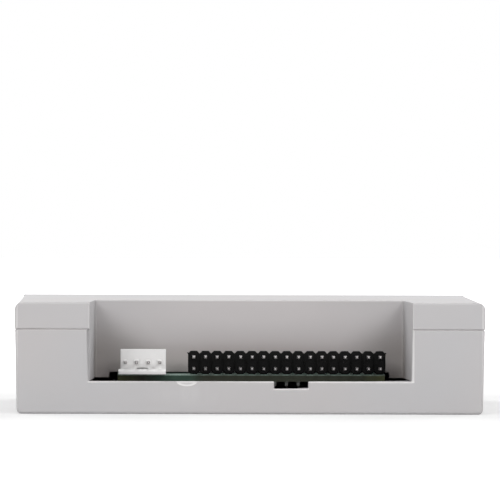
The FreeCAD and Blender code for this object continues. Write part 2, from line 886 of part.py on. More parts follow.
def legs_on_side(middle, size, offsets, turn, leg):
    # turn is the angle of the side, 0 for +X and 90 for +Y
    width, reach, thickness = leg
    out = (size[0] if turn % 180 == 0 else size[1]) / 2
    waist = board_top + chip_lift + size[2] / 2
    outline = [
        (out, waist + thickness / 2),
        (out, waist - thickness / 2),
        (out + 0.4 * reach, board_top),
        (out + reach, board_top),
        (out + reach, board_top + thickness),
        (out + 0.5 * reach, board_top + thickness),
    ]
    legs = []
    for offset in offsets:
        shape = bar_along_y(outline, about(offset, width))
        shape.rotate(V(0, 0, 0), V(0, 0, 1), turn)
        shape.translate(V(middle[0], middle[1], 0))
        legs.append(shape)
    return legs


def spread(count, step):
    return [step * (i - (count - 1) / 2) for i in range(count)]


def make_controller_chip():
    return chip_body(controller_place, controller_size)


def make_controller_legs():
    offsets = spread(12, controller_leg_pitch)
    legs = []
    for turn in (0, 90, 180, 270):
        legs += legs_on_side(controller_place, controller_size, offsets, turn, controller_leg)
    return Part.makeCompound(legs)


def small_outline_legs(middle, size, count):
    offsets = spread(count, small_leg_pitch)
    return [leg for turn in (90, 270) for leg in legs_on_side(middle, size, offsets, turn, small_leg)]


def make_buffer_chips():
    return Part.makeCompound([bevelled_chip(place, buffer_size) for place in buffer_places])


def make_buffer_legs():
    legs = [leg for place in buffer_places for leg in small_outline_legs(place, buffer_size, 7)]
    return Part.makeCompound(legs)


def make_memory_chip():
    return bevelled_chip(memory_place, memory_size)


def make_memory_legs():
    return Part.makeCompound(small_outline_legs(memory_place, memory_size, 4))


def make_voltage_regulator():
    return chip_body(regulator_place, regulator_size)


def make_regulator_legs():
    # three legs on one side, and a wide tab on the other that carries the heat away
    small = legs_on_side(regulator_place, regulator_size, spread(3, regulator_leg_pitch), 270, regulator_leg)
    tab = legs_on_side(regulator_place, regulator_size, [0], 90, regulator_tab)
    return Part.makeCompound(small + tab)


# Other parts on the board

def on_board(middle, size):
    x, y = middle
    return block(about(x, size[0]), about(y, size[1]), (board_top, board_top + size[2]))


def make_fuse():
    return on_board(fuse_place, fuse_size)


def make_crystal():
    # a can with half-round ends on two leads
    x, y = crystal_place
    length, width, height = crystal_size
    half, r = (length - width) / 2, width / 2
    curves = [
        Part.LineSegment(V(x - half, y - r, board_top), V(x + half, y - r, board_top)),
        Part.Arc(V(x + half, y - r, board_top), V(x + half + r, y, board_top), V(x + half, y + r, board_top)),
        Part.LineSegment(V(x + half, y + r, board_top), V(x - half, y + r, board_top)),
        Part.Arc(V(x - half, y + r, board_top), V(x - half - r, y, board_top), V(x - half, y - r, board_top)),
    ]
    can = Part.Face(Part.Wire([c.toShape() for c in curves])).extrude(V(0, 0, height))
    leads = [block(about(lead_x, lead_side), about(lead_y, lead_side), (tail_end, board_top + root))
             for lead_x, lead_y in crystal_leads()]
    return joined([can] + leads)


def make_filter_capacitor():
    x, y = capacitor_place
    low = board_top + capacitor_base_height
    return post(x, y, (low, low + capacitor_can_height), capacitor_radius)


def make_filter_capacitor_base():
    side = 2 * capacitor_radius + 0.3
    base = on_board(capacitor_place, (side, side, capacitor_base_height))
    corners = [e for e in base.Edges if is_upright(e) and e.BoundBox.XMin > capacitor_place[0]]
    return base.makeChamfer(1.3, corners)


def make_small_resistors():
    return Part.makeCompound([on_board(place, resistor_size) for place in resistor_places])


def make_small_capacitors():
    return Part.makeCompound([on_board(place, small_capacitor_size) for place in small_capacitor_places])


# Upright pin blocks and the two jumper caps that pull off them

def pin_block(pins, x_span, y_span):
    body = block(x_span, y_span, (board_top, board_top + pitch))
    body = body.makeChamfer(0.4, [e for e in body.Edges if is_upright(e)])
    bores = [block(about(x, pin_side), about(y, pin_side), (board_bottom, board_top + pitch + 1))
             for x, y in pins]
    return cut_by(body, bores)


def upright_pins(pins):
    z_span = (tail_end, pin_top)
    return Part.makeCompound([block(about(x, pin_side), about(y, pin_side), z_span) for x, y in pins])


def make_jumper_block():
    x_span = (jumper_places[0] - pitch / 2, jumper_places[-1] + pitch / 2)
    return pin_block(jumper_pins(), x_span, about(jumper_y, 2 * pitch))


def make_jumper_pins():
    return upright_pins(jumper_pins())


def make_jumper_cap(x):
    low, high = board_top + pitch, pin_top + cap_headroom
    cap = block(about(x, cap_width), about(jumper_y, cap_length), (low, high))
    cap = cap.makeChamfer(0.25, edges_where(cap, lambda p: near(p.z, high)))
    bore = pin_side + 0.12
    bores = [block(about(x, bore), about(jumper_y + side * pitch / 2, bore), (low - 1, pin_top + 0.1))
             for side in (-1, 1)]
    depth, length, height = cap_grip
    grips = [block(about(x + side * cap_width / 2, 2 * depth), about(jumper_y, length),
                   (high - 2 * height, high - height)) for side in (-1, 1)]
    return cut_by(cap, bores + grips)


def make_programming_block():
    length = programming_ways * pitch
    return pin_block(programming_pins(), about(programming_x, pitch), about(programming_y, length))


def make_programming_pins():
    return upright_pins(programming_pins())


# All pieces, by the name of each

def all_parts():
    parts = {
        "bottom_tray": make_bottom_tray(),
        "top_cover": make_top_cover(),
        "main_board": make_main_board(),
        "board_screws": make_board_screws(),
        "usb_shell": make_usb_shell(),
        "usb_insulator": make_usb_insulator(),
        "usb_contacts": make_usb_contacts(),
        "signal_header_body": make_signal_header_body(),
        "signal_header_pins": make_signal_header_pins(),
        "power_header_body": make_power_header_body(),
        "power_header_pins": make_power_header_pins(),
        "controller_chip": make_controller_chip(),
        "controller_legs": make_controller_legs(),
        "memory_chip": make_memory_chip(),
        "memory_legs": make_memory_legs(),
        "buffer_chips": make_buffer_chips(),
        "buffer_legs": make_buffer_legs(),
        "voltage_regulator": make_voltage_regulator(),
        "regulator_legs": make_regulator_legs(),
        "resettable_fuse": make_fuse(),
        "crystal": make_crystal(),
        "filter_capacitor": make_filter_capacitor(),
        "filter_capacitor_base": make_filter_capacitor_base(),
        "small_resistors": make_small_resistors(),
        "small_capacitors": make_small_capacitors(),
        "jumper_block": make_jumper_block(),
        "jumper_pins": make_jumper_pins(),
        "programming_block": make_programming_block(),
        "programming_pins": make_programming_pins(),
    }
    for lamp in lamp_places:
        parts[lamp + "_lamp_lens"] = make_lens(lamp)
        parts[lamp + "_lamp_leads"] = make_lamp_leads(lamp)
    for name, x in cap_places.items():
        parts[name] = make_jumper_cap(x)
    return parts


def main():
    os.makedirs("parts", exist_ok=True)
    for name, shape in all_parts().items():
        if not shape.isValid() or shape.Volume <= 0:
            raise ValueError(name + " is not a valid solid")
        shape.exportStep("parts/" + name + ".step")
        print(name, len(shape.Solids), "solids,", round(shape.Volume, 2), "cubic mm")


main()
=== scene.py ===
import math
import random

import bpy
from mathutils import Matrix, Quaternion, Vector


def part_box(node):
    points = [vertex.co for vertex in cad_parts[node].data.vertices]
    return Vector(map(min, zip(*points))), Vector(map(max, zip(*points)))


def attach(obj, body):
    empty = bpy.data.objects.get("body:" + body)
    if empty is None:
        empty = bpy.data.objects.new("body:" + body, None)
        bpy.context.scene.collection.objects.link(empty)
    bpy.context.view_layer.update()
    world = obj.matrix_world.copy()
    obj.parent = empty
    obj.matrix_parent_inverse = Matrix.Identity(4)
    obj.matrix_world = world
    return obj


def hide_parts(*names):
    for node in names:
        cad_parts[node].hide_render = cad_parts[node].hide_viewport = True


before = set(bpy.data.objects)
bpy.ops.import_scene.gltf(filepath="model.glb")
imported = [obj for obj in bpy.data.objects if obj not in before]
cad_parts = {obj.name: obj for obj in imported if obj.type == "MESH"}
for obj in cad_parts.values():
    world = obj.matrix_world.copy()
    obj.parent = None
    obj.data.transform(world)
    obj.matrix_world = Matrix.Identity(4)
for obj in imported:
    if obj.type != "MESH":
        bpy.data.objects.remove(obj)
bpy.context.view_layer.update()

mm = 0.001
print("frame loaded,", len(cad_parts), "nodes")

samePlace = 1e-6                 # two places closer than this, in metres, count as one
facing = 0.9                     # a face looks along an axis from this share of its normal on
sharp = 30                       # degrees from which an edge of a moulding is broken
merging = {"own": 1e-7, "node": 2e-6, "flat": 0.6}     # metres, metres, and degrees between flat faces


# Working in edit mode

def deselectAll():
    if bpy.context.object and bpy.context.object.mode != "OBJECT":
        bpy.ops.object.mode_set(mode="OBJECT")
    bpy.ops.object.select_all(action="DESELECT")


def activate(piece):
    deselectAll()
    bpy.context.view_layer.objects.active = piece
    piece.select_set(True)


def edit(piece, what="FACE"):
    activate(piece)
    bpy.ops.object.mode_set(mode="EDIT")
    bpy.ops.mesh.select_mode(type=what)
    bpy.ops.mesh.select_all(action="DESELECT")


def pick(piece, kind, test):
    # selects the faces or edges of the piece that pass the test; the piece is in edit mode
    bpy.ops.mesh.select_all(action="DESELECT")
    bpy.ops.object.mode_set(mode="OBJECT")
    for item in getattr(piece.data, kind):
        item.select = test(item)
    bpy.ops.object.mode_set(mode="EDIT")


def edgeMiddle(piece, edge):
    a, b = (piece.data.vertices[i].co for i in edge.vertices)
    return (a + b) / 2


def edgeRun(piece, edge):
    a, b = (piece.data.vertices[i].co for i in edge.vertices)
    return b - a


def extrude(move):
    bpy.ops.mesh.extrude_region_move(TRANSFORM_OT_translate={"value": move})


def applyPlace():
    bpy.ops.object.transform_apply(location=True, rotation=True, scale=True)


def rename(piece, name):
    piece.name = name
    piece.data.name = name
    return piece


def settle(piece, name=None):
    # back to object mode, with the place in the mesh, faces outwards and doubles merged
    bpy.ops.object.mode_set(mode="OBJECT")
    activate(piece)
    applyPlace()
    bpy.ops.object.mode_set(mode="EDIT")
    bpy.ops.mesh.select_all(action="SELECT")
    bpy.ops.mesh.remove_doubles(threshold=merging["own"])
    bpy.ops.mesh.normals_make_consistent(inside=False)
    bpy.ops.object.mode_set(mode="OBJECT")
    return rename(piece, name) if name else piece


def applyModifier(piece, kind, **settings):
    activate(piece)
    modifier = piece.modifiers.new(kind.lower(), kind)
    for name, value in settings.items():
        setattr(modifier, name, value)
    bpy.ops.object.modifier_apply(modifier=modifier.name)


def softenEdges(piece, width, segments=2, above=sharp):
    applyModifier(piece, "BEVEL", width=width, segments=segments, limit_method="ANGLE",
                  angle_limit=math.radians(above), use_clamp_overlap=False, miter_outer="MITER_ARC",
                  harden_normals=False)


def smooth(piece, angle, flatten):
    # flatten keeps the shading of a broad face even, up to its bevels
    activate(piece)
    bpy.ops.object.shade_smooth_by_angle(angle=math.radians(angle), keep_sharp_edges=False)
    if flatten:
        applyModifier(piece, "WEIGHTED_NORMAL", weight=100, keep_sharp=True)


def copyOf(piece, name, move=(0, 0, 0)):
    twin = piece.copy()
    twin.data = piece.data.copy()
    twin.name = name
    bpy.context.scene.collection.objects.link(twin)
    for vertex in twin.data.vertices:
        vertex.co += Vector(move)
    return twin


def joinAll(pieces, name):
    activate(pieces[0])
    for piece in pieces[1:]:
        piece.select_set(True)
    bpy.ops.object.join()
    return rename(bpy.context.object, name)


def mergedCopy(node, name):
    # the node's own shape, with its loose triangles merged and its flat faces made whole
    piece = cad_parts[node].copy()
    piece.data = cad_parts[node].data.copy()
    for key in list(piece.keys()):
        del piece[key]
    piece.parent = None
    rename(piece, name)
    piece.data.materials.clear()
    bpy.context.scene.collection.objects.link(piece)
    activate(piece)
    if piece.data.has_custom_normals:
        bpy.ops.mesh.customdata_custom_splitnormals_clear()
    bpy.ops.object.mode_set(mode="EDIT")
    bpy.ops.mesh.select_mode(type="FACE")
    bpy.ops.mesh.select_all(action="SELECT")
    bpy.ops.mesh.remove_doubles(threshold=merging["node"])
    bpy.ops.mesh.dissolve_limited(angle_limit=math.radians(merging["flat"]))
    bpy.ops.object.mode_set(mode="OBJECT")
    return piece


axes = {
    # direction, and the turn that points a circle along it
    "Y": (Vector((0, 1, 0)), (-math.pi / 2, 0, 0)),
    "Z": (Vector((0, 0, 1)), (0, 0, 0)),
}


def turned(name, centre, profile, sides, along="Z"):
    # rings extruded one from another; profile lists (radius, distance along the axis)
    axis, turn = axes[along]
    radius, reach = profile[0]
    deselectAll()
    bpy.ops.mesh.primitive_circle_add(vertices=sides, radius=radius, fill_type="NGON",
                                      location=Vector(centre) + axis * reach, rotation=turn)
    piece = bpy.context.object
    applyPlace()
    edit(piece)
    bpy.ops.mesh.select_all(action="SELECT")
    for nextRadius, nextReach in profile[1:]:
        middle = Vector(centre) + axis * nextReach
        extrude(axis * (nextReach - reach))
        grow = nextRadius / radius
        bpy.ops.transform.resize(value=(grow, grow, grow), center_override=middle)
        radius, reach = nextRadius, nextReach
    return settle(piece, name)


def block(name, low, high):
    # a box between two corners, still to be shaped
    low, high = Vector(low), Vector(high)
    deselectAll()
    bpy.ops.mesh.primitive_cube_add(size=1, location=(low + high) / 2)
    piece = bpy.context.object
    piece.scale = high - low
    applyPlace()
    return rename(piece, name)


def cutAway(piece, cutters):
    for cutter in cutters:
        applyModifier(piece, "BOOLEAN", operation="DIFFERENCE", solver="EXACT", object=cutter)
        bpy.data.objects.remove(cutter)
    return piece


# Patterns for the materials; owner is a material, or the world where no place is read

def newMaterial(name, color, metallic=0.0, sockets=None):
    material = bpy.data.materials.new(name)
    material.use_nodes = True
    shader = material.node_tree.nodes["Principled BSDF"]
    shader.inputs["Base Color"].default_value = (*color, 1)
    shader.inputs["Metallic"].default_value = metallic
    for socket, value in (sockets or {}).items():
        shader.inputs[socket].default_value = value
    return material


def toShader(material, color, roughness, normal=None):
    # joins the patterns to the shader of the finished material
    tree = material.node_tree
    shader = tree.nodes["Principled BSDF"]
    for socket, output in (("Base Color", color), ("Roughness", roughness), ("Normal", normal)):
        if output:
            tree.links.new(output, shader.inputs[socket])
    return material


def placeIn(owner, kind="Object"):
    # Object coordinates, or the object's own normal, from one node for all patterns of a material
    nodes = owner.node_tree.nodes
    found = nodes.get("place")
    if not found:
        found = nodes.new("ShaderNodeTexCoord")
        found.name = "place"
    return found.outputs[kind]


def noise(owner, scale, detail=3.0, stretch=None):
    # scale is per metre
    tree = owner.node_tree
    texture = tree.nodes.new("ShaderNodeTexNoise")
    texture.inputs["Scale"].default_value = scale
    texture.inputs["Detail"].default_value = detail
    source = placeIn(owner)
    if stretch:
        mapping = tree.nodes.new("ShaderNodeMapping")
        mapping.inputs["Scale"].default_value = stretch
        tree.links.new(source, mapping.inputs["Vector"])
        source = mapping.outputs["Vector"]
    tree.links.new(source, texture.inputs["Vector"])
    return texture.outputs["Fac"]


def remap(owner, value, low, high, fromLow=0.3, fromHigh=0.7):
    tree = owner.node_tree
    node = tree.nodes.new("ShaderNodeMapRange")
    node.inputs["From Min"].default_value = fromLow
    node.inputs["From Max"].default_value = fromHigh
    node.inputs["To Min"].default_value = low
    node.inputs["To Max"].default_value = high
    tree.links.new(value, node.inputs["Value"])
    return node.outputs["Result"]


def speckle(owner, scale, detail=3.0, span=(0.3, 0.7), share=(0.0, 1.0), stretch=None):
    # a noise, of which the values over span are spread over share
    return remap(owner, noise(owner, scale, detail, stretch), *share, *span)


def mixColor(owner, factor, first, second):
    # first and second are colours, or outputs of other nodes; the colours' sockets go by number
    tree = owner.node_tree
    node = tree.nodes.new("ShaderNodeMix")
    node.data_type = "RGBA"
    tree.links.new(factor, node.inputs["Factor"])
    for socket, value in ((node.inputs[6], first), (node.inputs[7], second)):
        if isinstance(value, tuple):
            socket.default_value = (*value, 1)
        else:
            tree.links.new(value, socket)
    return node.outputs[2]


def bump(owner, height, distance, strength=0.5, after=None):
    tree = owner.node_tree
    node = tree.nodes.new("ShaderNodeBump")
    node.inputs["Strength"].default_value = strength
    node.inputs["Distance"].default_value = distance
    tree.links.new(height, node.inputs["Height"])
    if after:
        tree.links.new(after, node.inputs["Normal"])
    return node.outputs["Normal"]


def combine(owner, operation, *values):
    # one step of arithmetic on numbers and on outputs of other nodes
    tree = owner.node_tree
    node = tree.nodes.new("ShaderNodeMath")
    node.operation = operation
    for socket, value in zip(node.inputs, values):
        if isinstance(value, float):
            socket.default_value = value
        else:
            tree.links.new(value, socket)
    return node.outputs["Value"]


def allOf(owner, *masks):
    # the masks multiplied: 1 where each of them is 1
    whole = masks[0]
    for mask in masks[1:]:
        whole = combine(owner, "MULTIPLY", whole, mask)
    return whole


def axisValue(owner, axis, kind="Object"):
    tree = owner.node_tree
    node = tree.nodes.new("ShaderNodeSeparateXYZ")
    tree.links.new(placeIn(owner, kind), node.inputs["Vector"])
    return node.outputs[axis]


def within(owner, axis, middle, reach):
    # 1 where the coordinate is no further than reach from middle
    return combine(owner, "COMPARE", axisValue(owner, axis), middle, reach)


def inBox(owner, middle, reach):
    # 1 inside a box round middle, in mm
    return allOf(owner, *(within(owner, "XYZ"[i], middle[i] * mm, reach[i] * mm) for i in range(3)))


def distance(owner, source):
    tree = owner.node_tree
    length = tree.nodes.new("ShaderNodeVectorMath")
    length.operation = "LENGTH"
    tree.links.new(source, length.inputs[0])
    return length.outputs["Value"]


def nearSpot(owner, spot, radii):
    # 1 at the spot, 0 outside the ellipsoid with these radii
    tree = owner.node_tree
    mapping = tree.nodes.new("ShaderNodeMapping")
    mapping.vector_type = "TEXTURE"
    mapping.inputs["Location"].default_value = spot
    mapping.inputs["Scale"].default_value = radii
    tree.links.new(placeIn(owner), mapping.inputs["Vector"])
    return remap(owner, distance(owner, mapping.outputs["Vector"]), 1.0, 0.0, 0.0, 1.0)


# Case plastic: pale grey, with the fine matt grain of the mould, and painted shade and highlights

casePlastic = {
    # a pattern is given by its scale per metre, its detail, the span of the noise, and its share
    "color": (0.575, 0.562, 0.570),
    "warm": (0.582, 0.562, 0.565),
    "cool": (0.568, 0.562, 0.573),
    "cloud": (34, 2.0, (0.35, 0.65)),
    "fleckColor": (0.50, 0.49, 0.49),
    "fleck": (2600, 2.0, (0.62, 0.8), (0.0, 0.05)),
    "roughness": (0.50, 0.60),
    "grain": (9000, 2.0),
    "grainDepth": 0.012 * mm,
    "waves": (60, 1.0),
    "wavesDepth": (0.05 * mm, 0.35),         # and strength
    "blush": (0.66, 0.65, 0.655),
    "blushPlace": (13.5 * mm, 63.0 * mm, 4.6 * mm),
    "blushSize": (11 * mm, 6 * mm, 3.4 * mm),
    "streaks": (500, 3.0, (0.4, 0.75), (0.1, 0.55), (1, 1, 0.35)),
    "paintedRecessShading": [
        # painted shade, darker low in the recess and in its corners, and a painted lighter band at the
        # top of its back wall: colour, middle and radii of a soft patch, in mm, and how near its middle
        # it is whole
        ((0.545, 0.500, 0.494), (-0.3, 28.0, 4.0), (49, 13, 20), 0.5),
        ((0.47, 0.435, 0.425), (0.0, 28.0, 6.5), (45, 12, 9), 0.6),
        ((0.39, 0.362, 0.352), (33.5, 28.0, 8.0), (15.5, 12, 15.9), 0.7),
        ((0.40, 0.372, 0.362), (-34.0, 28.0, 8.0), (15.5, 12, 15.9), 0.7),
        ((0.66, 0.628, 0.628), (-0.3, 28.0, 22.0), (42, 4, 9), 0.7),
    ],
    "pale": (0.86, 0.84, 0.84),
    "seam": (18.14, 0.1),                    # painted highlight line along the seam: height and reach, in mm
    "seamHides": ((0, 0, 18.14), (49.6, 62.6, 1)),     # the painted highlight line is left out in this box
    "paintedEdgeHighlight": [
        # middle and reach of the edges painted pale as highlights, in mm, and how much
        ((-0.25, 63.4, 7.05), (35.2, 1.2, 0.26), 0.9),
        ((-8.9, 63.4, 5.47), (3.8, 1.2, 0.2), 0.9),
        ((34.72, 63.4, 12.6), (0.21, 0.45, 5.6), 0.75),
        ((-35.22, 63.4, 12.6), (0.21, 0.45, 5.6), 0.75),
        ((34.6, 63.4, 21.0), (0.21, 0.45, 2.9), 0.4),
        ((-35.1, 63.4, 21.0), (0.21, 0.45, 2.9), 0.4),
        ((0.0, 63.4, 24.1), (52, 0.5, 0.3), 0.4),
        ((-0.25, 28.4, 24.1), (34.2, 0.5, 0.3), 0.4),
        ((50.6, 63.4, 12.0), (0.55, 0.6, 12.2), 0.45),
        ((-50.6, 63.4, 12.0), (0.55, 0.6, 12.2), 0.45),
    ],
    "scar": ((13.6, 63.2, 7.1), (2.35, 3.0, 1.12)),
    "scarLip": (0.0, 1.0, 0.0, 0.06),        # how the painted highlight, a pale crescent, starts at the scar's outline
    "scarHollow": (1.0, 0.25, 0.22, 0.40),   # and fades towards its middle
}


def makeCasePlastic():
    look = casePlastic
    material = newMaterial("casePlastic", look["color"])
    tint = mixColor(material, speckle(material, *look["cloud"]), look["warm"], look["cool"])
    tint = mixColor(material, speckle(material, *look["fleck"]), tint, look["fleckColor"])
    spot = nearSpot(material, look["blushPlace"], look["blushSize"])
    blush = allOf(material, spot, speckle(material, *look["streaks"]))
    tint = mixColor(material, blush, tint, look["blush"])
    # painted shade and painted light in the recess, patch by patch
    for color, middle, radii, whole in look["paintedRecessShading"]:
        patch = nearSpot(material, Vector(middle) * mm, Vector(radii) * mm)
        tint = mixColor(material, remap(material, patch, 0.0, 1.0, 0.0, whole), tint, color)
    # a painted highlight line along the seam between cover and tray
    height, reach = look["seam"]
    line = combine(material, "SUBTRACT", within(material, "Z", height * mm, reach * mm),
                   inBox(material, *look["seamHides"]))
    tint = mixColor(material, line, tint, look["pale"])
    # painted highlights along the edges that catch the light
    for middle, reach, share in look["paintedEdgeHighlight"]:
        edge = allOf(material, inBox(material, middle, reach), share)
        tint = mixColor(material, edge, tint, look["pale"])
    # a painted highlight along the gate scar's rim
    middle, radii = look["scar"]
    depth = nearSpot(material, Vector(middle) * mm, Vector(radii) * mm)
    crescent = allOf(material, remap(material, depth, *look["scarLip"]),
                     remap(material, depth, *look["scarHollow"]))
    tint = mixColor(material, crescent, tint, look["pale"])
    grain = noise(material, *look["grain"])
    waves = bump(material, noise(material, *look["waves"]), *look["wavesDepth"])
    return toShader(material, tint, remap(material, grain, *look["roughness"]),
                    bump(material, grain, look["grainDepth"], after=waves))


# Moulded plastic and ceramic of the small parts

mouldedGrain = {
    "grain": 7000,
    "depth": (0.01 * mm, 0.6),               # and strength
    "dust": (900, 4.0, (0.62, 0.85), (0.0, 0.35)),
    "dustPaler": 0.012,
    "gloss": 0.09,
}
mouldings = {
    # name, colour, roughness
    "black": ("mouldedBlack", (0.0035, 0.0035, 0.0035), (0.32, 0.5)),
    "chip": ("chipBlack", (0.018, 0.018, 0.019), (0.45, 0.62)),
    "blueCap": ("capBlue", (0.010, 0.045, 0.22), (0.35, 0.5)),
    "redCap": ("capRed", (0.28, 0.012, 0.010), (0.35, 0.5)),
}


def makeMoulding(name, color, roughness):
    look = mouldedGrain
    material = newMaterial(name, color, sockets={"Specular IOR Level": look["gloss"]})
    grain = noise(material, look["grain"])
    paler = tuple(c + look["dustPaler"] for c in color)
    tint = mixColor(material, speckle(material, *look["dust"]), color, paler)
    return toShader(material, tint, remap(material, grain, *roughness),
                    bump(material, grain, *look["depth"]))


glazeSpeck = {"speck": (3500, 3.0), "matt": (2500, 2.0)}
glazes = {
    # name, colour, second colour, roughness
    "mark": ("pictogramGrey", (0.37, 0.365, 0.37), (0.42, 0.415, 0.42), (0.45, 0.6)),
    "fuse": ("fuseLacquer", (0.02, 0.12, 0.04), (0.03, 0.17, 0.06), (0.3, 0.5)),
    "resistor": ("resistorGlaze", (0.02, 0.02, 0.025), (0.05, 0.05, 0.055), (0.3, 0.5)),
    "ceramic": ("capacitorCeramic", (0.30, 0.20, 0.12), (0.38, 0.27, 0.17), (0.4, 0.6)),
}


def makeGlaze(name, color, second, roughness):
    material = newMaterial(name, color)
    tint = mixColor(material, speckle(material, *glazeSpeck["speck"]), color, second)
    return toShader(material, tint, remap(material, noise(material, *glazeSpeck["matt"]), *roughness))


# White nylon of the power header

nylonWhite = {
    "pale": (0.97, 0.965, 0.96),
    "dim": (0.93, 0.925, 0.915),
    "cloud": (260, 3.0),
    "roughness": (0.28, 0.45),
    "matt": (5000, 2.0),
    "dents": 900,
    "dentDepth": 0.02 * mm,
    "sockets": {"Specular IOR Level": 0.9, "Coat Weight": 0.6, "Coat Roughness": 0.3},
}


def makeNylonWhite():
    look = nylonWhite
    material = newMaterial("nylonWhite", look["pale"], sockets=look["sockets"])
    tint = mixColor(material, speckle(material, *look["cloud"]), look["pale"], look["dim"])
    return toShader(material, tint, remap(material, noise(material, *look["matt"]), *look["roughness"]),
                    bump(material, noise(material, look["dents"]), look["dentDepth"]))


# Metals

metalPatch = (420, 3.0, (0.45, 0.8), (0.0, 0.6))
shadeBelowFrom = 0.1 * mm              # below the board, ends take a painted shade from here on
metals = {
    # brush stretches the grain along one axis; stain is the colour of thin patches; the last colour is
    # the painted shade on the ends below the board
    "tin": {"name": "tinPlate", "color": (0.58, 0.56, 0.56), "stain": (0.40, 0.38, 0.37),
            "roughness": (0.20, 0.42), "brush": (1, 0.15, 1), "dull": (0.13, 0.14, 0.13)},
    "steel": {"name": "brightSteel", "color": (0.66, 0.65, 0.64), "stain": (0.58, 0.57, 0.57),
              "roughness": (0.10, 0.26), "brush": (1, 0.05, 1)},
    "solder": {"name": "solder", "color": (0.72, 0.72, 0.71), "stain": (0.55, 0.55, 0.54),
               "roughness": (0.18, 0.40), "grain": 1500, "depth": 0.03 * mm, "dull": (0.11, 0.12, 0.11)},
    "zinc": {"name": "zincPlate", "color": (0.58, 0.58, 0.57), "stain": (0.45, 0.45, 0.43),
             "roughness": (0.25, 0.45)},
    "contact": {"name": "contactBronze", "color": (0.12, 0.09, 0.05), "stain": (0.07, 0.05, 0.03),
                "roughness": (0.25, 0.4), "brush": (1, 0.2, 1)},
    "aluminium": {"name": "canAluminium", "color": (0.76, 0.76, 0.76), "stain": (0.66, 0.66, 0.66),
                  "roughness": (0.22, 0.38), "brush": (1, 1, 0.1)},
}


def makeMetal(name, color, stain, roughness, brush=None, grain=3000, depth=0.01 * mm, dull=None):
    material = newMaterial(name, color, metallic=1.0)
    lines = noise(material, grain, stretch=brush)
    tint = mixColor(material, speckle(material, *metalPatch), color, stain)
    # painted shade on the ends below the board
    if dull:
        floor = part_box("main_board")[0].z
        below = remap(material, axisValue(material, "Z"), 1.0, 0.0, floor - shadeBelowFrom, floor)
        tint = mixColor(material, below, tint, dull)
    return toShader(material, tint, remap(material, lines, *roughness), bump(material, lines, depth))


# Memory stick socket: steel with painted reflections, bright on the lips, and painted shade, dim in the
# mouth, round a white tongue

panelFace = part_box("bottom_tray")[0].y
socketLook = {
    # these colours are painted reflections and painted shade: bright sides and a warm upper band on the
    # lips, a dark rim at the mouth, a dim inside
    "side": (0.80, 0.79, 0.78),
    "upper": (0.42, 0.365, 0.35),
    "rim": (0.075, 0.068, 0.068),
    "inside": (0.36, 0.335, 0.33),
    "copperGlint": (0.55, 0.27, 0.10),
    "brush": (2500, 3.0, (1, 0.1, 1)),
    "brushDepth": 0.008 * mm,
    "roughness": (0.16, 0.34),
    "lipEnd": 1.35 * mm,         # behind the panel's face
    "upperReach": 5.45 * mm,
    "upperBand": (15.0 * mm, 0.85 * mm),     # height and reach
    "sideBand": (12.0 * mm, 2.0 * mm),
    "sideFrom": 6.1 * mm,
    "tips": (-3.2, 3.2),         # middles of the springs along X, in mm
    "tip": (3.4, 9.72, (1.35, 1.7, 0.5)),    # of the painted shade on each spring tip: behind the panel's face, height, and reach, in mm
    "spot": (0.55 * mm, 0.16 * mm),          # reach of the painted copper glint on a tip
    "tongue": ((0.84, 0.86, 0.90), (0.78, 0.81, 0.86)),
    "cloud": (700, 3.0),
    "matt": (4000, 2.0),
    "mattRoughness": (0.25, 0.42),
    "back": ((0.42, 0.40, 0.395), 6.0 * mm, 2 * mm),          # colour of the painted shade deeper in the socket, depth, and run of the change
    # painted shade in the pockets at the back
    "pocket": ((0.060, 0.056, 0.056), 10.75 * mm, 0.2 * mm),
}


def makeSocketSteel():
    look = socketLook
    material = newMaterial("socketSteel", look["inside"], metallic=1.0)
    lines = noise(material, *look["brush"])
    # painted shade at the mouth, with painted reflections on the upper lip and on the sides
    atMouth = within(material, "Y", panelFace, look["lipEnd"])
    tint = mixColor(material, atMouth, look["inside"], look["rim"])
    upper = allOf(material, within(material, "X", 0.0, look["upperReach"]),
                  within(material, "Z", *look["upperBand"]), atMouth)
    tint = mixColor(material, upper, tint, look["upper"])
    beside = combine(material, "SUBTRACT", 1.0, within(material, "X", 0.0, look["sideFrom"]))
    side = allOf(material, beside, within(material, "Z", *look["sideBand"]), atMouth)
    tint = mixColor(material, side, tint, look["side"])
    depth, height, tipReach = look["tip"]
    reachX, reachZ = look["spot"]
    for x in look["tips"]:
        tip = inBox(material, (x, panelFace / mm + depth, height), tipReach)
        # painted shade on each spring tip, with a painted copper glint on it
        tint = mixColor(material, tip, tint, look["rim"])
        spot = allOf(material, within(material, "X", x * mm, reachX),
                     within(material, "Z", height * mm, reachZ))
        tint = mixColor(material, spot, tint, look["copperGlint"])
    return toShader(material, tint, remap(material, lines, *look["roughness"]),
                    bump(material, lines, look["brushDepth"]))


def makeSocketWhite():
    look = socketLook
    material = newMaterial("socketWhite", look["tongue"][0])
    tint = mixColor(material, speckle(material, *look["cloud"]), *look["tongue"])
    deep = axisValue(material, "Y")
    # painted shade deeper in the socket, darkest in the pockets
    for color, depth, run in (look["back"], look["pocket"]):
        start = panelFace + depth
        tint = mixColor(material, remap(material, deep, 0.0, 1.0, start, start + run), tint, color)
    matt = noise(material, *look["matt"])
    return toShader(material, tint, remap(material, matt, *look["mattRoughness"]))


# Circuit board: green lacquer over the glass cloth, which shows bare and olive at the cut edges

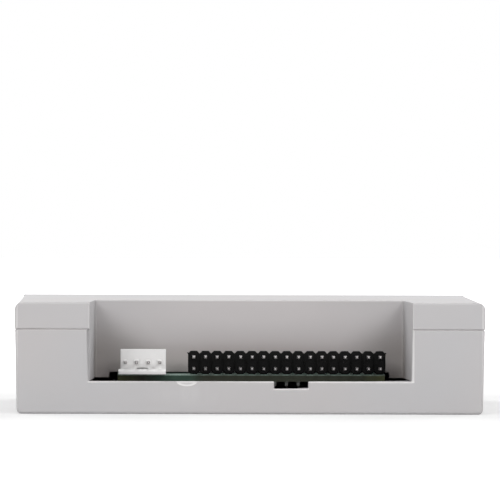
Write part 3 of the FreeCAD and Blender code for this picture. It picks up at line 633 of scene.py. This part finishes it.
boardLook = {
    "lacquer": (0.008, 0.062, 0.040),
    "lacquerDark": (0.006, 0.045, 0.030),
    "cloud": (300, 2.0),
    "edge": (0.009, 0.013, 0.006),
    "edgeFibre": (0.024, 0.029, 0.013),
    "fibre": {"scale": 2200, "stretch": (1, 1, 9)},
    "teal": (0.013, 0.042, 0.026),           # the lacquer runs over the edge here
    "tealPlace": (16.5 * mm, 38.2 * mm, 7.2 * mm),
    "tealSize": (8.5 * mm, 3 * mm, 5 * mm),
    "tealRamp": (0.0, 1.0, 0.2, 0.6),
    "olive": (0.050, 0.058, 0.018),          # bare glass cloth at the two ends
    "oliveReach": (5.5 * mm, 3 * mm, 4 * mm),
    "oliveHeight": 1 * mm,                   # above the board's underside
    "oliveRamp": (0.0, 1.0, 0.0, 0.8),
    "rim": (0.32, 0.43, 0.38),               # painted highlight on the upper rear edge
    "rimReach": 0.30 * mm,
    "paintedEdgeHighlight": (1500, 2.0, (0.3, 0.7), (0.55, 1.0)),
    "rimHighlightRamp": (0.45, 1.0, 11.5 * mm, 13.5 * mm),     # the painted highlight is whole beyond the long header and weaker along it
    "paintedSheen": (0.10, 0.19, 0.155),             # painted sheen of the lacquer between the headers
    "paintedSheenRamp": (0.0, 0.8, 28.0 * mm, 32.0 * mm),
    "faceRamp": (0.0, 1.0, 0.4, 0.6),        # how level a face is that takes the lacquer
    "roughness": (0.75, 0.40, 0.0, 1.0),     # of the edge and of the face
    "weave": (1900, 1.0),
    "weaveDepth": 0.008 * mm,
    "sockets": {"Specular IOR Level": 0.45, "Coat Weight": 0.1, "Coat Roughness": 0.3},
}


def makeBoardGreen():
    look = boardLook
    material = newMaterial("boardGreen", look["lacquer"], sockets=look["sockets"])
    face = mixColor(material, speckle(material, *look["cloud"]), look["lacquer"], look["lacquerDark"])
    # painted sheen on the face between the headers
    paintedSheen = remap(material, axisValue(material, "Y"), *look["paintedSheenRamp"])
    face = mixColor(material, paintedSheen, face, look["paintedSheen"])
    edge = mixColor(material, speckle(material, **look["fibre"]), look["edge"], look["edgeFibre"])
    run = remap(material, nearSpot(material, look["tealPlace"], look["tealSize"]), *look["tealRamp"])
    edge = mixColor(material, run, edge, look["teal"])
    low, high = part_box("main_board")
    for x in (low.x, high.x):
        end = nearSpot(material, (x, high.y, low.z + look["oliveHeight"]), look["oliveReach"])
        edge = mixColor(material, remap(material, end, *look["oliveRamp"]), edge, look["olive"])
    # painted highlight along the upper rear edge, uneven, and weaker along the long header
    rim = allOf(material, within(material, "Y", high.y, look["rimReach"]),
                within(material, "Z", high.z, look["rimReach"]), speckle(material, *look["paintedEdgeHighlight"]),
                remap(material, axisValue(material, "X"), *look["rimHighlightRamp"]))
    level = combine(material, "ABSOLUTE", axisValue(material, "Z", "Normal"))
    onFace = remap(material, level, *look["faceRamp"])
    whole = mixColor(material, onFace, edge, face)
    return toShader(material, mixColor(material, rim, whole, look["rim"]),
                    remap(material, onFace, *look["roughness"]),
                    bump(material, noise(material, *look["weave"]), look["weaveDepth"]))


# Lamp lenses: tinted, a little cloudy and glossy, with a body that is brighter than the cup in it

lensLook = {
    "cloud": (900, 2.0),
    "roughness": (0.04, 0.10),
    "matt": (2500, 2.0),
    "cup": (1.15 * mm, 4 * mm, 1.15 * mm),
    "cupRamp": (0.0, 1.0, 0.15, 0.4),
    "sockets": {"Specular IOR Level": 0.1, "Coat Weight": 0.55, "Coat Roughness": 0.03},
}
lenses = {
    # deep, bright and core colour
    "red": ((0.52, 0.010, 0.014), (0.62, 0.022, 0.028), (0.40, 0.001, 0.002)),
    "green": ((0.012, 0.33, 0.20), (0.022, 0.42, 0.27), (0.008, 0.25, 0.16)),
}


def makeLens(colour, deep, bright, core):
    look = lensLook
    material = newMaterial(colour + "Lens", deep, sockets=look["sockets"])
    low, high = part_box(colour + "_lamp_lens")
    middle = ((low.x + high.x) / 2, low.y, (low.z + high.z) / 2)
    tint = mixColor(material, speckle(material, *look["cloud"]), deep, bright)
    cup = remap(material, nearSpot(material, middle, look["cup"]), *look["cupRamp"])
    tint = mixColor(material, cup, tint, core)
    return toShader(material, tint, remap(material, noise(material, *look["matt"]), *look["roughness"]))


materials = {
    "case": makeCasePlastic(),
    "nylon": makeNylonWhite(),
    "socketSteel": makeSocketSteel(),
    "socketWhite": makeSocketWhite(),
    "board": makeBoardGreen(),
}
for key, look in mouldings.items():
    materials[key] = makeMoulding(*look)
for key, look in glazes.items():
    materials[key] = makeGlaze(*look)
for key, look in metals.items():
    materials[key] = makeMetal(**look)
for colour, look in lenses.items():
    materials[colour] = makeLens(colour, *look)
print("materials made,", len(materials))


def dress(piece, material):
    piece.data.materials.clear()
    piece.data.materials.append(materials[material])


def finishPiece(piece, material, nodes, body="case", angle=35, flatten=True):
    # a finished piece: shading, material, the nodes it stands for, and its body
    smooth(piece, angle, flatten)
    dress(piece, material)
    if nodes:
        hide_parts(*nodes)
    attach(piece, body)


# Legs and leads show as the nodes that they are
shownNodes = ("controller_legs", "memory_legs", "buffer_legs", "regulator_legs", "jumper_pins",
              "programming_pins", "red_lamp_leads", "green_lamp_leads")
for node in shownNodes:
    dress(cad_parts[node], "tin")
print("nodes dressed,", len(shownNodes))


# Case: the two mouldings, with the edges that show from outside softened

caseEdges = {
    "width": 0.2 * mm,
    "segments": 2,
    "sharp": sharp,
    "seam": (18.0 * mm, 18.3 * mm),          # level edges between these heights stay as they are
    "level": 0.2 * mm,
    "folded": 0.1,               # an edge is left out where its two normals add up to less
    "off": 0.02 * mm,            # how far off an edge the look outside starts
}
# the cover's wall over the board comes down to a narrow gap, as the photograph shows it
wallOverBoard = {"height": 8.95 * mm, "along": (26.5 * mm, 28.5 * mm), "drop": 0.6 * mm}


def softenShown(piece, others):
    # bevels the sharp edges from which a ray along the mean normal leaves the case
    size = caseEdges
    mesh = piece.data
    faces = {}
    for face in mesh.polygons:
        for key in face.edge_keys:
            faces.setdefault(key, []).append(face)
    shown = []
    for edge in mesh.edges:
        first, second = faces[edge.key]
        turn = math.degrees(first.normal.angle(second.normal, 0))
        way = first.normal + second.normal
        if turn < size["sharp"] or way.length < size["folded"]:
            continue
        middle = edgeMiddle(piece, edge)
        atSeam = size["seam"][0] < middle.z < size["seam"][1]
        if atSeam and abs(edgeRun(piece, edge).z) < size["level"]:
            continue
        way.normalize()
        start = middle + way * size["off"]
        if not any(other.ray_cast(start, way)[0] for other in others):
            shown.append(edge.index)
    weights = mesh.attributes.new("bevel_weight_edge", "FLOAT", "EDGE")
    for index in shown:
        weights.data[index].value = 1
    applyModifier(piece, "BEVEL", width=size["width"], segments=size["segments"], limit_method="WEIGHT",
                  use_clamp_overlap=False, miter_outer="MITER_ARC", harden_normals=False)
    left = piece.data.attributes.get("bevel_weight_edge")
    if left:
        piece.data.attributes.remove(left)


def lowerWall(cover):
    size = wallOverBoard
    near, far = size["along"]
    edit(cover)
    pick(cover, "polygons", lambda f: f.normal.z < -facing and near < f.center.y < far
         and abs(f.center.z - size["height"]) < samePlace)
    bpy.ops.transform.translate(value=(0, 0, -size["drop"]))
    bpy.ops.object.mode_set(mode="OBJECT")


def makeCase():
    tray = mergedCopy("bottom_tray", "caseTray")
    cover = mergedCopy("top_cover", "caseCover")
    lowerWall(cover)
    plain = [copyOf(tray, "plainTray"), copyOf(cover, "plainCover")]
    for piece, node in ((tray, "bottom_tray"), (cover, "top_cover")):
        softenShown(piece, plain)
        finishPiece(piece, "case", [node])
    for piece in plain:
        bpy.data.objects.remove(piece)


makeCase()
print("case made")


# Signal header: one bevelled segment, copied along the strip, and a nub at each end

headerLow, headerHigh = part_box("signal_header_body")
signalHeader = {
    "columns": 17,
    "bevel": 0.58 * mm,
    "raise": 0.05 * mm,          # the middle of each segment's face stands out this far
    "margin": 0.16 * mm,
    "wholeFace": 4 * mm * mm,    # the face inside the margin is larger than this
    "edge": 0.05 * mm,
    "edgeSharp": 25,
    "nub": (0.22 * mm, 0.5 * mm, 0.35 * mm),
    "nubRoot": 0.1 * mm,
    "nubInset": 1.1 * mm,        # from the strip's rear face
    "nubPeak": 0.9 * mm,         # from there too; the nub narrows to this line
    "nubHeight": 0.86,           # share of the strip's height
    "nubTaper": (1, 0.55, 0.4),
}
signalPitch = (headerHigh.x - headerLow.x) / signalHeader["columns"]


def makeSegment():
    size = signalHeader
    corner = (headerLow.x + signalPitch, headerHigh.y - size["raise"], headerHigh.z)
    segment = block("segment", headerLow, corner)
    edit(segment, "EDGE")
    pick(segment, "edges", lambda e: abs(edgeRun(segment, e).y) > size["bevel"])
    bpy.ops.mesh.bevel(offset=size["bevel"], segments=1, affect="EDGES")
    pick(segment, "polygons", lambda f: abs(f.normal.y) > facing)
    bpy.ops.mesh.inset(thickness=size["margin"], depth=0)
    pick(segment, "polygons", lambda f: abs(f.normal.y) > facing and f.area > size["wholeFace"])
    bpy.ops.mesh.extrude_region_shrink_fatten(TRANSFORM_OT_shrink_fatten={"value": size["raise"]})
    settle(segment)
    softenEdges(segment, size["edge"], above=size["edgeSharp"])
    return segment


def makeNub(side, x):
    size = signalHeader
    wide, deep, tall = size["nub"]
    start = headerHigh.y - size["nubInset"]
    height = headerLow.z + (headerHigh.z - headerLow.z) * size["nubHeight"]
    inner, outer = x - side * size["nubRoot"], x + side * wide
    nub = block("nub", (min(inner, outer), start, height),
                (max(inner, outer), start + deep, height + tall))
    edit(nub)
    pick(nub, "polygons", lambda f: f.normal.x * side > facing)
    bpy.ops.transform.resize(value=size["nubTaper"],
                             center_override=(outer, headerHigh.y - size["nubPeak"], height + tall))
    return settle(nub)


def makeHeaderStrip():
    segments = [makeSegment()]
    for i in range(1, signalHeader["columns"]):
        segments.append(copyOf(segments[0], "segment" + str(i), (signalPitch * i, 0, 0)))
    segments += [makeNub(-1, headerLow.x), makeNub(1, headerHigh.x)]
    return joinAll(segments, "signalHeaderStrip")


finishPiece(makeHeaderStrip(), "black", ["signal_header_body"], angle=25)
print("signal header made")


# Header pins: square wire with a pointed tip and a round bend

pinLook = {
    "side": 0.64 * mm,
    "point": 0.42 * mm,
    "pointShare": 0.42,
    "bend": 0.5 * mm,            # inner radius
    "bendSteps": 6,
    "tailTaper": 0.3 * mm,
    "tailShare": 0.5,
    "edge": 0.035 * mm,
    "unevenX": 0.02,             # errors of a real row, in mm
    "unevenY": 0.06,
    "unevenZ": 0.02,
}


def bentPin(name, x, height, tip, elbow, tail):
    # from the tip along -Y, round the bend and down to the tail; elbow is the middle of the upright part
    look = pinLook
    radius = look["bend"] + look["side"] / 2
    start = tip - look["point"]
    deselectAll()
    bpy.ops.mesh.primitive_plane_add(size=look["side"], location=(x, start, height),
                                     rotation=(math.pi / 2, 0, 0))
    pin = bpy.context.object
    applyPlace()
    edit(pin)
    bpy.ops.mesh.select_all(action="SELECT")
    extrude((0, elbow + radius - start, 0))
    bpy.ops.mesh.spin(steps=look["bendSteps"], angle=math.pi / 2, use_auto_merge=True,
                      center=(x, elbow + radius, height - radius), axis=(1, 0, 0))
    extrude((0, 0, tail + look["tailTaper"] - (height - radius)))
    extrude((0, 0, -look["tailTaper"]))
    share = look["tailShare"]
    bpy.ops.transform.resize(value=(share, share, 1), center_override=(x, elbow, tail))
    pick(pin, "polygons", lambda f: abs(f.center.y - start) < samePlace)
    extrude((0, look["point"], 0))
    share = look["pointShare"]
    bpy.ops.transform.resize(value=(share, 1, share), center_override=(x, tip, height))
    settle(pin, name)
    softenEdges(pin, look["edge"], segments=1)
    return pin


def pinRow(name, places, height, elbow, tip, tail):
    # one pin, copied to each place along X, none of them quite in line
    look = pinLook
    pattern = bentPin(name, places[0], height, tip, elbow, tail)
    pins = []
    for i, x in enumerate(places):
        shift = (x - places[0] + random.uniform(-look["unevenX"], look["unevenX"]) * mm,
                 random.uniform(-look["unevenY"], 0.0) * mm,
                 random.uniform(-look["unevenZ"], look["unevenZ"]) * mm)
        pins.append(copyOf(pattern, name + str(i), shift))
    bpy.data.objects.remove(pattern)
    return pins


def alongX(first, step, count):
    return [first + step * i for i in range(count)]


powerWays = 4
pinLow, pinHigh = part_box("signal_header_pins")
powerPinLow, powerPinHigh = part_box("power_header_pins")
boardLow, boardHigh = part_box("main_board")
halfPin = pinLook["side"] / 2
signalPlaces = alongX(pinLow.x + halfPin, signalPitch, signalHeader["columns"])
upperElbow = pinLow.y + halfPin
powerPitch = (powerPinHigh.x - powerPinLow.x - 2 * halfPin) / (powerWays - 1)
powerPlaces = alongX(powerPinLow.x + halfPin, powerPitch, powerWays)
powerElbow = powerPinLow.y + halfPin
powerPinMiddle = powerPinHigh.z - halfPin


def makeSignalPins():
    random.seed(17)
    upper = pinHigh.z - halfPin
    pins = pinRow("lowerPin", signalPlaces, upper - signalPitch, upperElbow + signalPitch, pinHigh.y,
                  pinLow.z)
    pins += pinRow("upperPin", signalPlaces, upper, upperElbow, pinHigh.y, pinLow.z)
    return joinAll(pins, "signalPins")


def makePowerPins():
    random.seed(4)
    pins = pinRow("powerPin", powerPlaces, powerPinMiddle, powerElbow, powerPinHigh.y, powerPinLow.z)
    return joinAll(pins, "powerPins")


finishPiece(makeSignalPins(), "tin", ["signal_header_pins"], angle=25)
finishPiece(makePowerPins(), "tin", ["power_header_pins"], angle=25)
print("header pins made")


# Power header: a white wall with a ledge under the pins, and a groove moulded round each pin

powerLow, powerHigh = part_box("power_header_body")
powerHeader = {
    "ledgeHeight": 1.1 * mm,
    "overhang": 0.45 * mm,
    "ledgeBevel": 0.4 * mm,
    "lengthwise": 0.1 * mm,      # the ledge's edge runs further than this along X
    "ring": (0.62 * mm, 0.12 * mm),
    "ringSides": (40, 8),
    "slit": (2.5 * mm, 0.28 * mm, 0.8 * mm),
    "soft": 0.12 * mm,
}


def makePowerHeader():
    size = powerHeader
    rear = headerHigh.y
    ledgeTop = powerLow.z + size["ledgeHeight"]
    body = block("powerHeaderWall", powerLow, (powerHigh.x - size["overhang"], rear, powerHigh.z))
    edit(body)
    bpy.ops.mesh.select_all(action="SELECT")
    bpy.ops.mesh.bisect(plane_co=(0, 0, ledgeTop), plane_no=(0, 0, 1))
    pick(body, "polygons", lambda f: f.normal.y > facing and f.center.z < ledgeTop)
    extrude((0, powerHigh.y - rear, 0))
    pick(body, "polygons", lambda f: f.normal.x > facing and f.center.y > rear)
    extrude((size["overhang"], 0, 0))

    def alongLedge(edge):
        middle = edgeMiddle(body, edge)
        return (abs(edgeRun(body, edge).x) > size["lengthwise"]
                and abs(middle.y - powerHigh.y) < samePlace and abs(middle.z - ledgeTop) < samePlace)

    bpy.ops.mesh.select_mode(type="EDGE")
    pick(body, "edges", alongLedge)
    bpy.ops.mesh.bevel(offset=size["ledgeBevel"], segments=1, affect="EDGES")
    settle(body)
    softenEdges(body, size["soft"], segments=3)
    wide, tall, deep = size["slit"]
    middle = (powerPlaces[1] + powerPlaces[2]) / 2
    cutters = [block("slit", (middle - wide / 2, rear - deep, ledgeTop),
                     (middle + wide / 2, rear + deep, ledgeTop + tall))]
    for x in powerPlaces:
        deselectAll()
        bpy.ops.mesh.primitive_torus_add(major_radius=size["ring"][0], minor_radius=size["ring"][1],
                                         major_segments=size["ringSides"][0],
                                         minor_segments=size["ringSides"][1],
                                         location=(x, rear, powerPinMiddle), rotation=(math.pi / 2, 0, 0))
        cutters.append(bpy.context.object)
    return cutAway(body, cutters)


finishPiece(makePowerHeader(), "nylon", ["power_header_body"])
print("power header made")


# Circuit board: its upper rear edge is bevelled, and each tail has a cone of solder

boardShape = {
    "rearBevel": 0.24 * mm,
    "lengthwise": 1 * mm,        # the rear edge runs further than this along X
    "joint": [(0.78, 0.0), (0.62, 0.12), (0.45, 0.38), (0.36, 0.75)],     # radius and height in mm
    "jointSides": 14,
}


def makeBoard():
    board = mergedCopy("main_board", "circuitBoard")

    def upperRear(edge):
        middle = edgeMiddle(board, edge)
        return (abs(edgeRun(board, edge).x) > boardShape["lengthwise"]
                and abs(middle.y - boardHigh.y) < samePlace and abs(middle.z - boardHigh.z) < samePlace)

    edit(board, "EDGE")
    pick(board, "edges", upperRear)
    bpy.ops.mesh.bevel(offset=boardShape["rearBevel"], segments=2, affect="EDGES")
    bpy.ops.object.mode_set(mode="OBJECT")
    return board


def solderCone(up):
    place, way = ((0, 0, boardHigh.z), 1) if up else ((0, 0, boardLow.z), -1)
    profile = [(radius * mm, way * height * mm) for radius, height in boardShape["joint"]]
    return turned("cone", place, profile, boardShape["jointSides"])


def gridOf(node):
    # places of the upright pins of a block
    low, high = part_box(node)
    columns = round((high.x - low.x - 2 * halfPin) / signalPitch) + 1
    lines = round((high.y - low.y - 2 * halfPin) / signalPitch) + 1
    return [(low.x + halfPin + signalPitch * i, low.y + halfPin + signalPitch * j)
            for i in range(columns) for j in range(lines)]


def makeSolderJoints():
    # the bent tails have a cone on both sides of the board, the upright pins one below
    cones = {up: solderCone(up) for up in (True, False)}
    bent = [(x, upperElbow) for x in signalPlaces] + [(x, upperElbow + signalPitch) for x in signalPlaces]
    bent += [(x, powerElbow) for x in powerPlaces]
    joints = []
    for i, (x, y) in enumerate(bent + gridOf("jumper_pins") + gridOf("programming_pins")):
        for up in ((True, False) if i < len(bent) else (False,)):
            joints.append(copyOf(cones[up], "joint" + str(i) + str(up), (x, y, 0)))
    for cone in cones.values():
        bpy.data.objects.remove(cone)
    return joinAll(joints, "solderJoints")


finishPiece(makeBoard(), "board", ["main_board"], angle=25)
finishPiece(makeSolderJoints(), "solder", [], angle=50)
print("board made")


# Inner pieces: the nodes' own shapes with their edges broken, and small marks cut in

innerPieces = {
    # node: piece, bevel, material, slot, body
    "controller_chip": ("controllerChip", 0.07 * mm, "chip", "chip_black", "case"),
    "memory_chip": ("memoryChip", 0.07 * mm, "chip", "chip_black", "case"),
    "buffer_chips": ("bufferChips", 0.07 * mm, "chip", "chip_black", "case"),
    "voltage_regulator": ("regulatorBody", 0.1 * mm, "chip", "chip_black", "case"),
    "resettable_fuse": ("resettableFuse", 0.12 * mm, "fuse", "fuse_green", "case"),
    "crystal": ("crystalCan", 0.2 * mm, "steel", "crystal_steel", "case"),
    "filter_capacitor_base": ("capacitorBase", 0.1 * mm, "black", "header_black", "case"),
    "small_resistors": ("smallResistors", 0.05 * mm, "resistor", "resistor_black", "case"),
    "small_capacitors": ("smallCapacitors", 0.08 * mm, "ceramic", "ceramic_tan", "case"),
    "jumper_block": ("jumperBlock", 0.12 * mm, "black", "header_black", "case"),
    "programming_block": ("programmingBlock", 0.12 * mm, "black", "header_black", "case"),
    "drive_select_cap": ("driveSelectCap", 0.14 * mm, "blueCap", "cap_blue", "drive_select_cap"),
    "disk_ready_cap": ("diskReadyCap", 0.14 * mm, "redCap", "cap_red", "disk_ready_cap"),
}
firstLegMark = {
    "nodes": ("controller_chip", "memory_chip"),
    "from": 1.5 * mm,            # the chip's sides
    "radius": 0.5 * mm,
    "flare": 1.2,
    "depth": 0.12 * mm,
    "sides": 24,
}


def cutLegMark(piece, node):
    size = firstLegMark
    low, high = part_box(node)
    place = (low.x + size["from"], low.y + size["from"], high.z)
    profile = [(size["radius"], -size["depth"]), (size["radius"] * size["flare"], size["depth"])]
    cutAway(piece, [turned("legMark", place, profile, size["sides"])])


def makeSoftened(pieces):
    for node, (name, width, material, slot, body) in pieces.items():
        piece = mergedCopy(node, name)
        softenEdges(piece, width)
        if node in firstLegMark["nodes"]:
            cutLegMark(piece, node)
        finishPiece(piece, material, [node], body, angle=30)


makeSoftened(innerPieces)
print("inner pieces made")


# Screws that hold the board: pan heads with a cross

boardScrew = {
    # radius and height over the board, in mm
    "profile": [(0.5, -6.0), (0.9, -5.6), (1.2, -5.0), (1.2, 0.0), (2.48, 0.0), (2.5, 0.65), (2.36, 1.1),
                (1.95, 1.45), (1.3, 1.64), (0.5, 1.7)],
    "sides": 40,
    "cross": (1.35 * mm, 0.3 * mm, 1.0 * mm),     # reach, half width and depth
    "crossTaper": (0.7, 0.7, 1),
    "turns": (27, 67),           # degrees
}


def makeBoardScrews():
    size = boardScrew
    low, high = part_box("board_screws")
    radius = max(r for r, _ in size["profile"]) * mm
    profile = [(r * mm, height * mm) for r, height in size["profile"]]
    reach, half, depth = size["cross"]
    screws = []
    for x, turn in zip((low.x + radius, high.x - radius), size["turns"]):
        top = Vector((x, low.y + radius, high.z))
        cutters = []
        for halfX, halfY in ((reach, half), (half, reach)):
            corner = Vector((halfX, halfY, depth))
            bar = block("crossBar", top - corner, top + corner)
            edit(bar)
            pick(bar, "polygons", lambda f: f.normal.z < -facing)
            bpy.ops.transform.resize(value=size["crossTaper"], center_override=top)
            settle(bar)
            bpy.ops.object.mode_set(mode="EDIT")
            bpy.ops.mesh.select_all(action="SELECT")
            bpy.ops.transform.rotate(value=math.radians(turn), orient_axis="Z", center_override=top)
            cutters.append(settle(bar))
        screw = turned("screw", (x, low.y + radius, boardHigh.z), profile, size["sides"])
        screws.append(cutAway(screw, cutters))
    return joinAll(screws, "boardScrews")


# Filter capacitor: a drawn can with a crimped waist

capacitorCan = {
    # all in mm
    "waist": 0.32,
    "rim": 0.14,
    "crimp": (0.8, 1.15, 1.35, 1.7),         # heights
    "shoulder": (0.4, 0.35),     # how far in and down the rounding of the top starts
    "sides": 56,
}


def makeCapacitorCan():
    size = capacitorCan
    low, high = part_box("filter_capacitor")
    radius, height = (high.x - low.x) / 2 / mm, (high.z - low.z) / mm
    waist, rim = radius - size["waist"], size["rim"]
    crimp, (inwards, down) = size["crimp"], size["shoulder"]
    profile = [(radius - rim, 0.0), (radius, rim), (radius, crimp[0]), (waist, crimp[1]),
               (waist, crimp[2]), (radius, crimp[3]), (radius, height - down),
               (radius - rim, height - rim), (radius - inwards, height)]
    centre = ((low.x + high.x) / 2, (low.y + high.y) / 2, low.z)
    return turned("capacitorCan", centre, [(r * mm, z * mm) for r, z in profile], size["sides"])


finishPiece(makeBoardScrews(), "zinc", ["board_screws"], angle=40)
finishPiece(makeCapacitorCan(), "aluminium", ["filter_capacitor"])
print("screws and capacitor made")


# Lamps: round domes

lampShape = {"rings": 9, "sides": 56, "flat": 0.04}     # share of the dome that is flat at its tip


def makeLampLens(colour):
    size = lampShape
    low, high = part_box(colour + "_lamp_lens")
    radius = (high.x - low.x) / 2
    shares = [size["flat"] + (1 - size["flat"]) * i / size["rings"] for i in range(size["rings"] + 1)]
    angles = [math.pi / 2 * share for share in shares]
    profile = [(radius * math.sin(a), radius * (1 - math.cos(a))) for a in angles]
    profile.append((radius, high.y - low.y))
    centre = ((low.x + high.x) / 2, low.y, (low.z + high.z) / 2)
    return turned(colour + "LampLens", centre, profile, size["sides"], "Y")


for colour in lenses:
    finishPiece(makeLampLens(colour), colour, [colour + "_lamp_lens"], angle=60,
                flatten=False)
print("lamps made")


# Memory stick socket

socketPieces = {
    "usb_shell": ("socketShell", 0.05 * mm, "socketSteel", "shell_steel", "case"),
    "usb_insulator": ("socketTongue", 0.12 * mm, "socketWhite", "socket_white", "case"),
    "usb_contacts": ("socketContacts", 0.05 * mm, "contact", "contact_gold", "case"),
}

makeSoftened(socketPieces)
print("socket made")


# Pictogram over the socket: the plain outline of a memory stick, moulded a little proud of the panel

pictogram = {
    "body": (-4.9 * mm, 1.9 * mm, 3.0 * mm, 0.55 * mm),     # from X, to X, height, corner
    "plug": (1.9 * mm, 4.5 * mm, 1.9 * mm, 0.12 * mm),
    "middle": 19.5 * mm,
    "line": 0.36 * mm,
    "proud": 0.05 * mm,
    "finest": 0.05 * mm,         # corner of the inside of an outline, at least
    "cornerSteps": 6,
    "contact": (1.0 * mm, 0.42 * mm),        # from the plug's end and from the middle
    "contactReach": (0.24 * mm, 0.2 * mm),
}


def outline(name, fromX, toX, height, corner):
    size = pictogram
    low = Vector((fromX, panelFace - size["proud"], size["middle"] - height / 2))
    high = Vector((toX, panelFace + size["proud"], size["middle"] + height / 2))
    plates = []
    for inside in (0, size["line"]):
        shrink = Vector((inside, -inside, inside))
        plate = block(name, low + shrink, high - shrink)
        edit(plate, "EDGE")
        pick(plate, "edges", lambda e: abs(edgeRun(plate, e).y) > size["proud"])
        bpy.ops.mesh.bevel(offset=max(corner - inside, size["finest"]), segments=size["cornerSteps"],
                           affect="EDGES")
        plates.append(settle(plate))
    return cutAway(plates[0], [plates[1]])


def makePictogram():
    # the plug's outline is open where it meets the body
    size = pictogram
    join, tip, height, corner = size["plug"]
    overlap = 2 * size["line"]
    plug = outline("stickPlug", join - overlap, tip, height, corner)
    reach = Vector((overlap, 2 * size["proud"], height))
    end = Vector((join - overlap, panelFace, size["middle"]))
    pieces = [outline("stickBody", *size["body"]),
              cutAway(plug, [block("plugEnd", end - reach, end + reach)])]
    back, aside = size["contact"]
    reach = Vector((size["contactReach"][0], size["proud"], size["contactReach"][1]))
    for side in (-1, 1):
        spot = Vector((tip - back, panelFace, size["middle"] + side * aside))
        pieces.append(block("contact", spot - reach, spot + reach))
    return joinAll(pieces, "stickPictogram")


finishPiece(makePictogram(), "mark", [])
print("pictogram made")


# Floor, lights and camera

studio = {
    "floorSide": 8,
    "floorColor": (0.84, 0.84, 0.84),
    "floorSockets": {"Roughness": 0.9, "Specular IOR Level": 0.1, "Emission Color": (1, 1, 1, 1)},
    "floorLift": ((0.12, 0.22), (0.7, 1.0)),     # distance in metres, and light added there
    "ambient": 0.20,
    "lights": [
        # name, place, side of the square, watts
        ("overhead", (0, 0, 1.4), 1.0, 3.6),
        ("rearLeft", (0.56, 1.08, 0.64), 0.55, 4.9),
        ("rearRight", (-0.56, 1.08, 0.64), 0.55, 4.9),
        ("frontLeft", (-0.56, -1.08, 0.64), 0.55, 5.8),
        ("frontRight", (0.56, -1.08, 0.64), 0.55, 5.8),
    ],
}


def cameraSees(owner):
    # 1 for rays that should see the plain white background
    path = owner.node_tree.nodes.new("ShaderNodeLightPath")
    total = path.outputs["Is Camera Ray"]
    for name in ("Is Glossy Ray", "Is Transmission Ray"):
        total = combine(owner, "MAXIMUM", total, path.outputs[name])
    return total


def makeFloor():
    deselectAll()
    bpy.ops.mesh.primitive_grid_add(x_subdivisions=4, y_subdivisions=4, size=studio["floorSide"])
    floor = bpy.context.object
    floor.name = "floor"
    material = newMaterial("floorPaper", studio["floorColor"], sockets=studio["floorSockets"])
    (near, nearLift), (far, farLift) = studio["floorLift"]
    strength = remap(material, distance(material, placeIn(material)), nearLift, farLift, near, far)
    lift = combine(material, "MULTIPLY", cameraSees(material), strength)
    shader = material.node_tree.nodes["Principled BSDF"]
    material.node_tree.links.new(lift, shader.inputs["Emission Strength"])
    floor.data.materials.append(material)


def makeWorld():
    world = bpy.data.worlds.new("studio")
    bpy.context.scene.world = world
    world.use_nodes = True
    background = world.node_tree.nodes["Background"]
    background.inputs["Color"].default_value = (1, 1, 1, 1)
    strength = remap(world, cameraSees(world), studio["ambient"], 1.0, 0.0, 1.0)
    world.node_tree.links.new(strength, background.inputs["Strength"])


def makeLights():
    for name, spot, side, watts in studio["lights"]:
        data = bpy.data.lights.new(name, "AREA")
        data.shape = "SQUARE"
        data.size = side
        data.energy = watts
        light = bpy.data.objects.new(name, data)
        light.location = spot
        light.rotation_mode = "QUATERNION"
        light.rotation_quaternion = (-Vector(spot)).to_track_quat("-Z", "Y")
        light.visible_camera = False
        bpy.context.scene.collection.objects.link(light)


# the camera stands far behind the rear; its numbers come from the photograph's lower picture
cameraFit = {
    "pictureSide": 500,
    "focalPixels": 7957,
    "depthLinesMeet": (154.7, 193.8),        # pixel where lines along the case meet
    "place": (20.6 * mm, 1777.4 * mm, 47.5 * mm),
    "rollDegrees": 0.16,
    "sensor": 36,                # mm
    "clip": (0.05, 30),
}


def makeCamera():
    fit = cameraFit
    data = bpy.data.cameras.new("camera")
    data.sensor_width = fit["sensor"]
    data.lens = fit["focalPixels"] * fit["sensor"] / fit["pictureSide"]
    data.clip_start, data.clip_end = fit["clip"]
    camera = bpy.data.objects.new("camera", data)
    right, down = (pixel - fit["pictureSide"] / 2 for pixel in fit["depthLinesMeet"])
    camera.location = fit["place"]
    camera.rotation_mode = "QUATERNION"
    aim = Vector((right, -fit["focalPixels"], down)).to_track_quat("-Z", "Y")
    camera.rotation_quaternion = aim @ Quaternion((0, 0, 1), math.radians(fit["rollDegrees"]))
    bpy.context.scene.collection.objects.link(camera)
    bpy.context.scene.camera = camera


makeFloor()
makeWorld()
makeLights()
makeCamera()
bpy.context.scene.view_settings.view_transform = "Standard"
print("floor, lights and camera made")
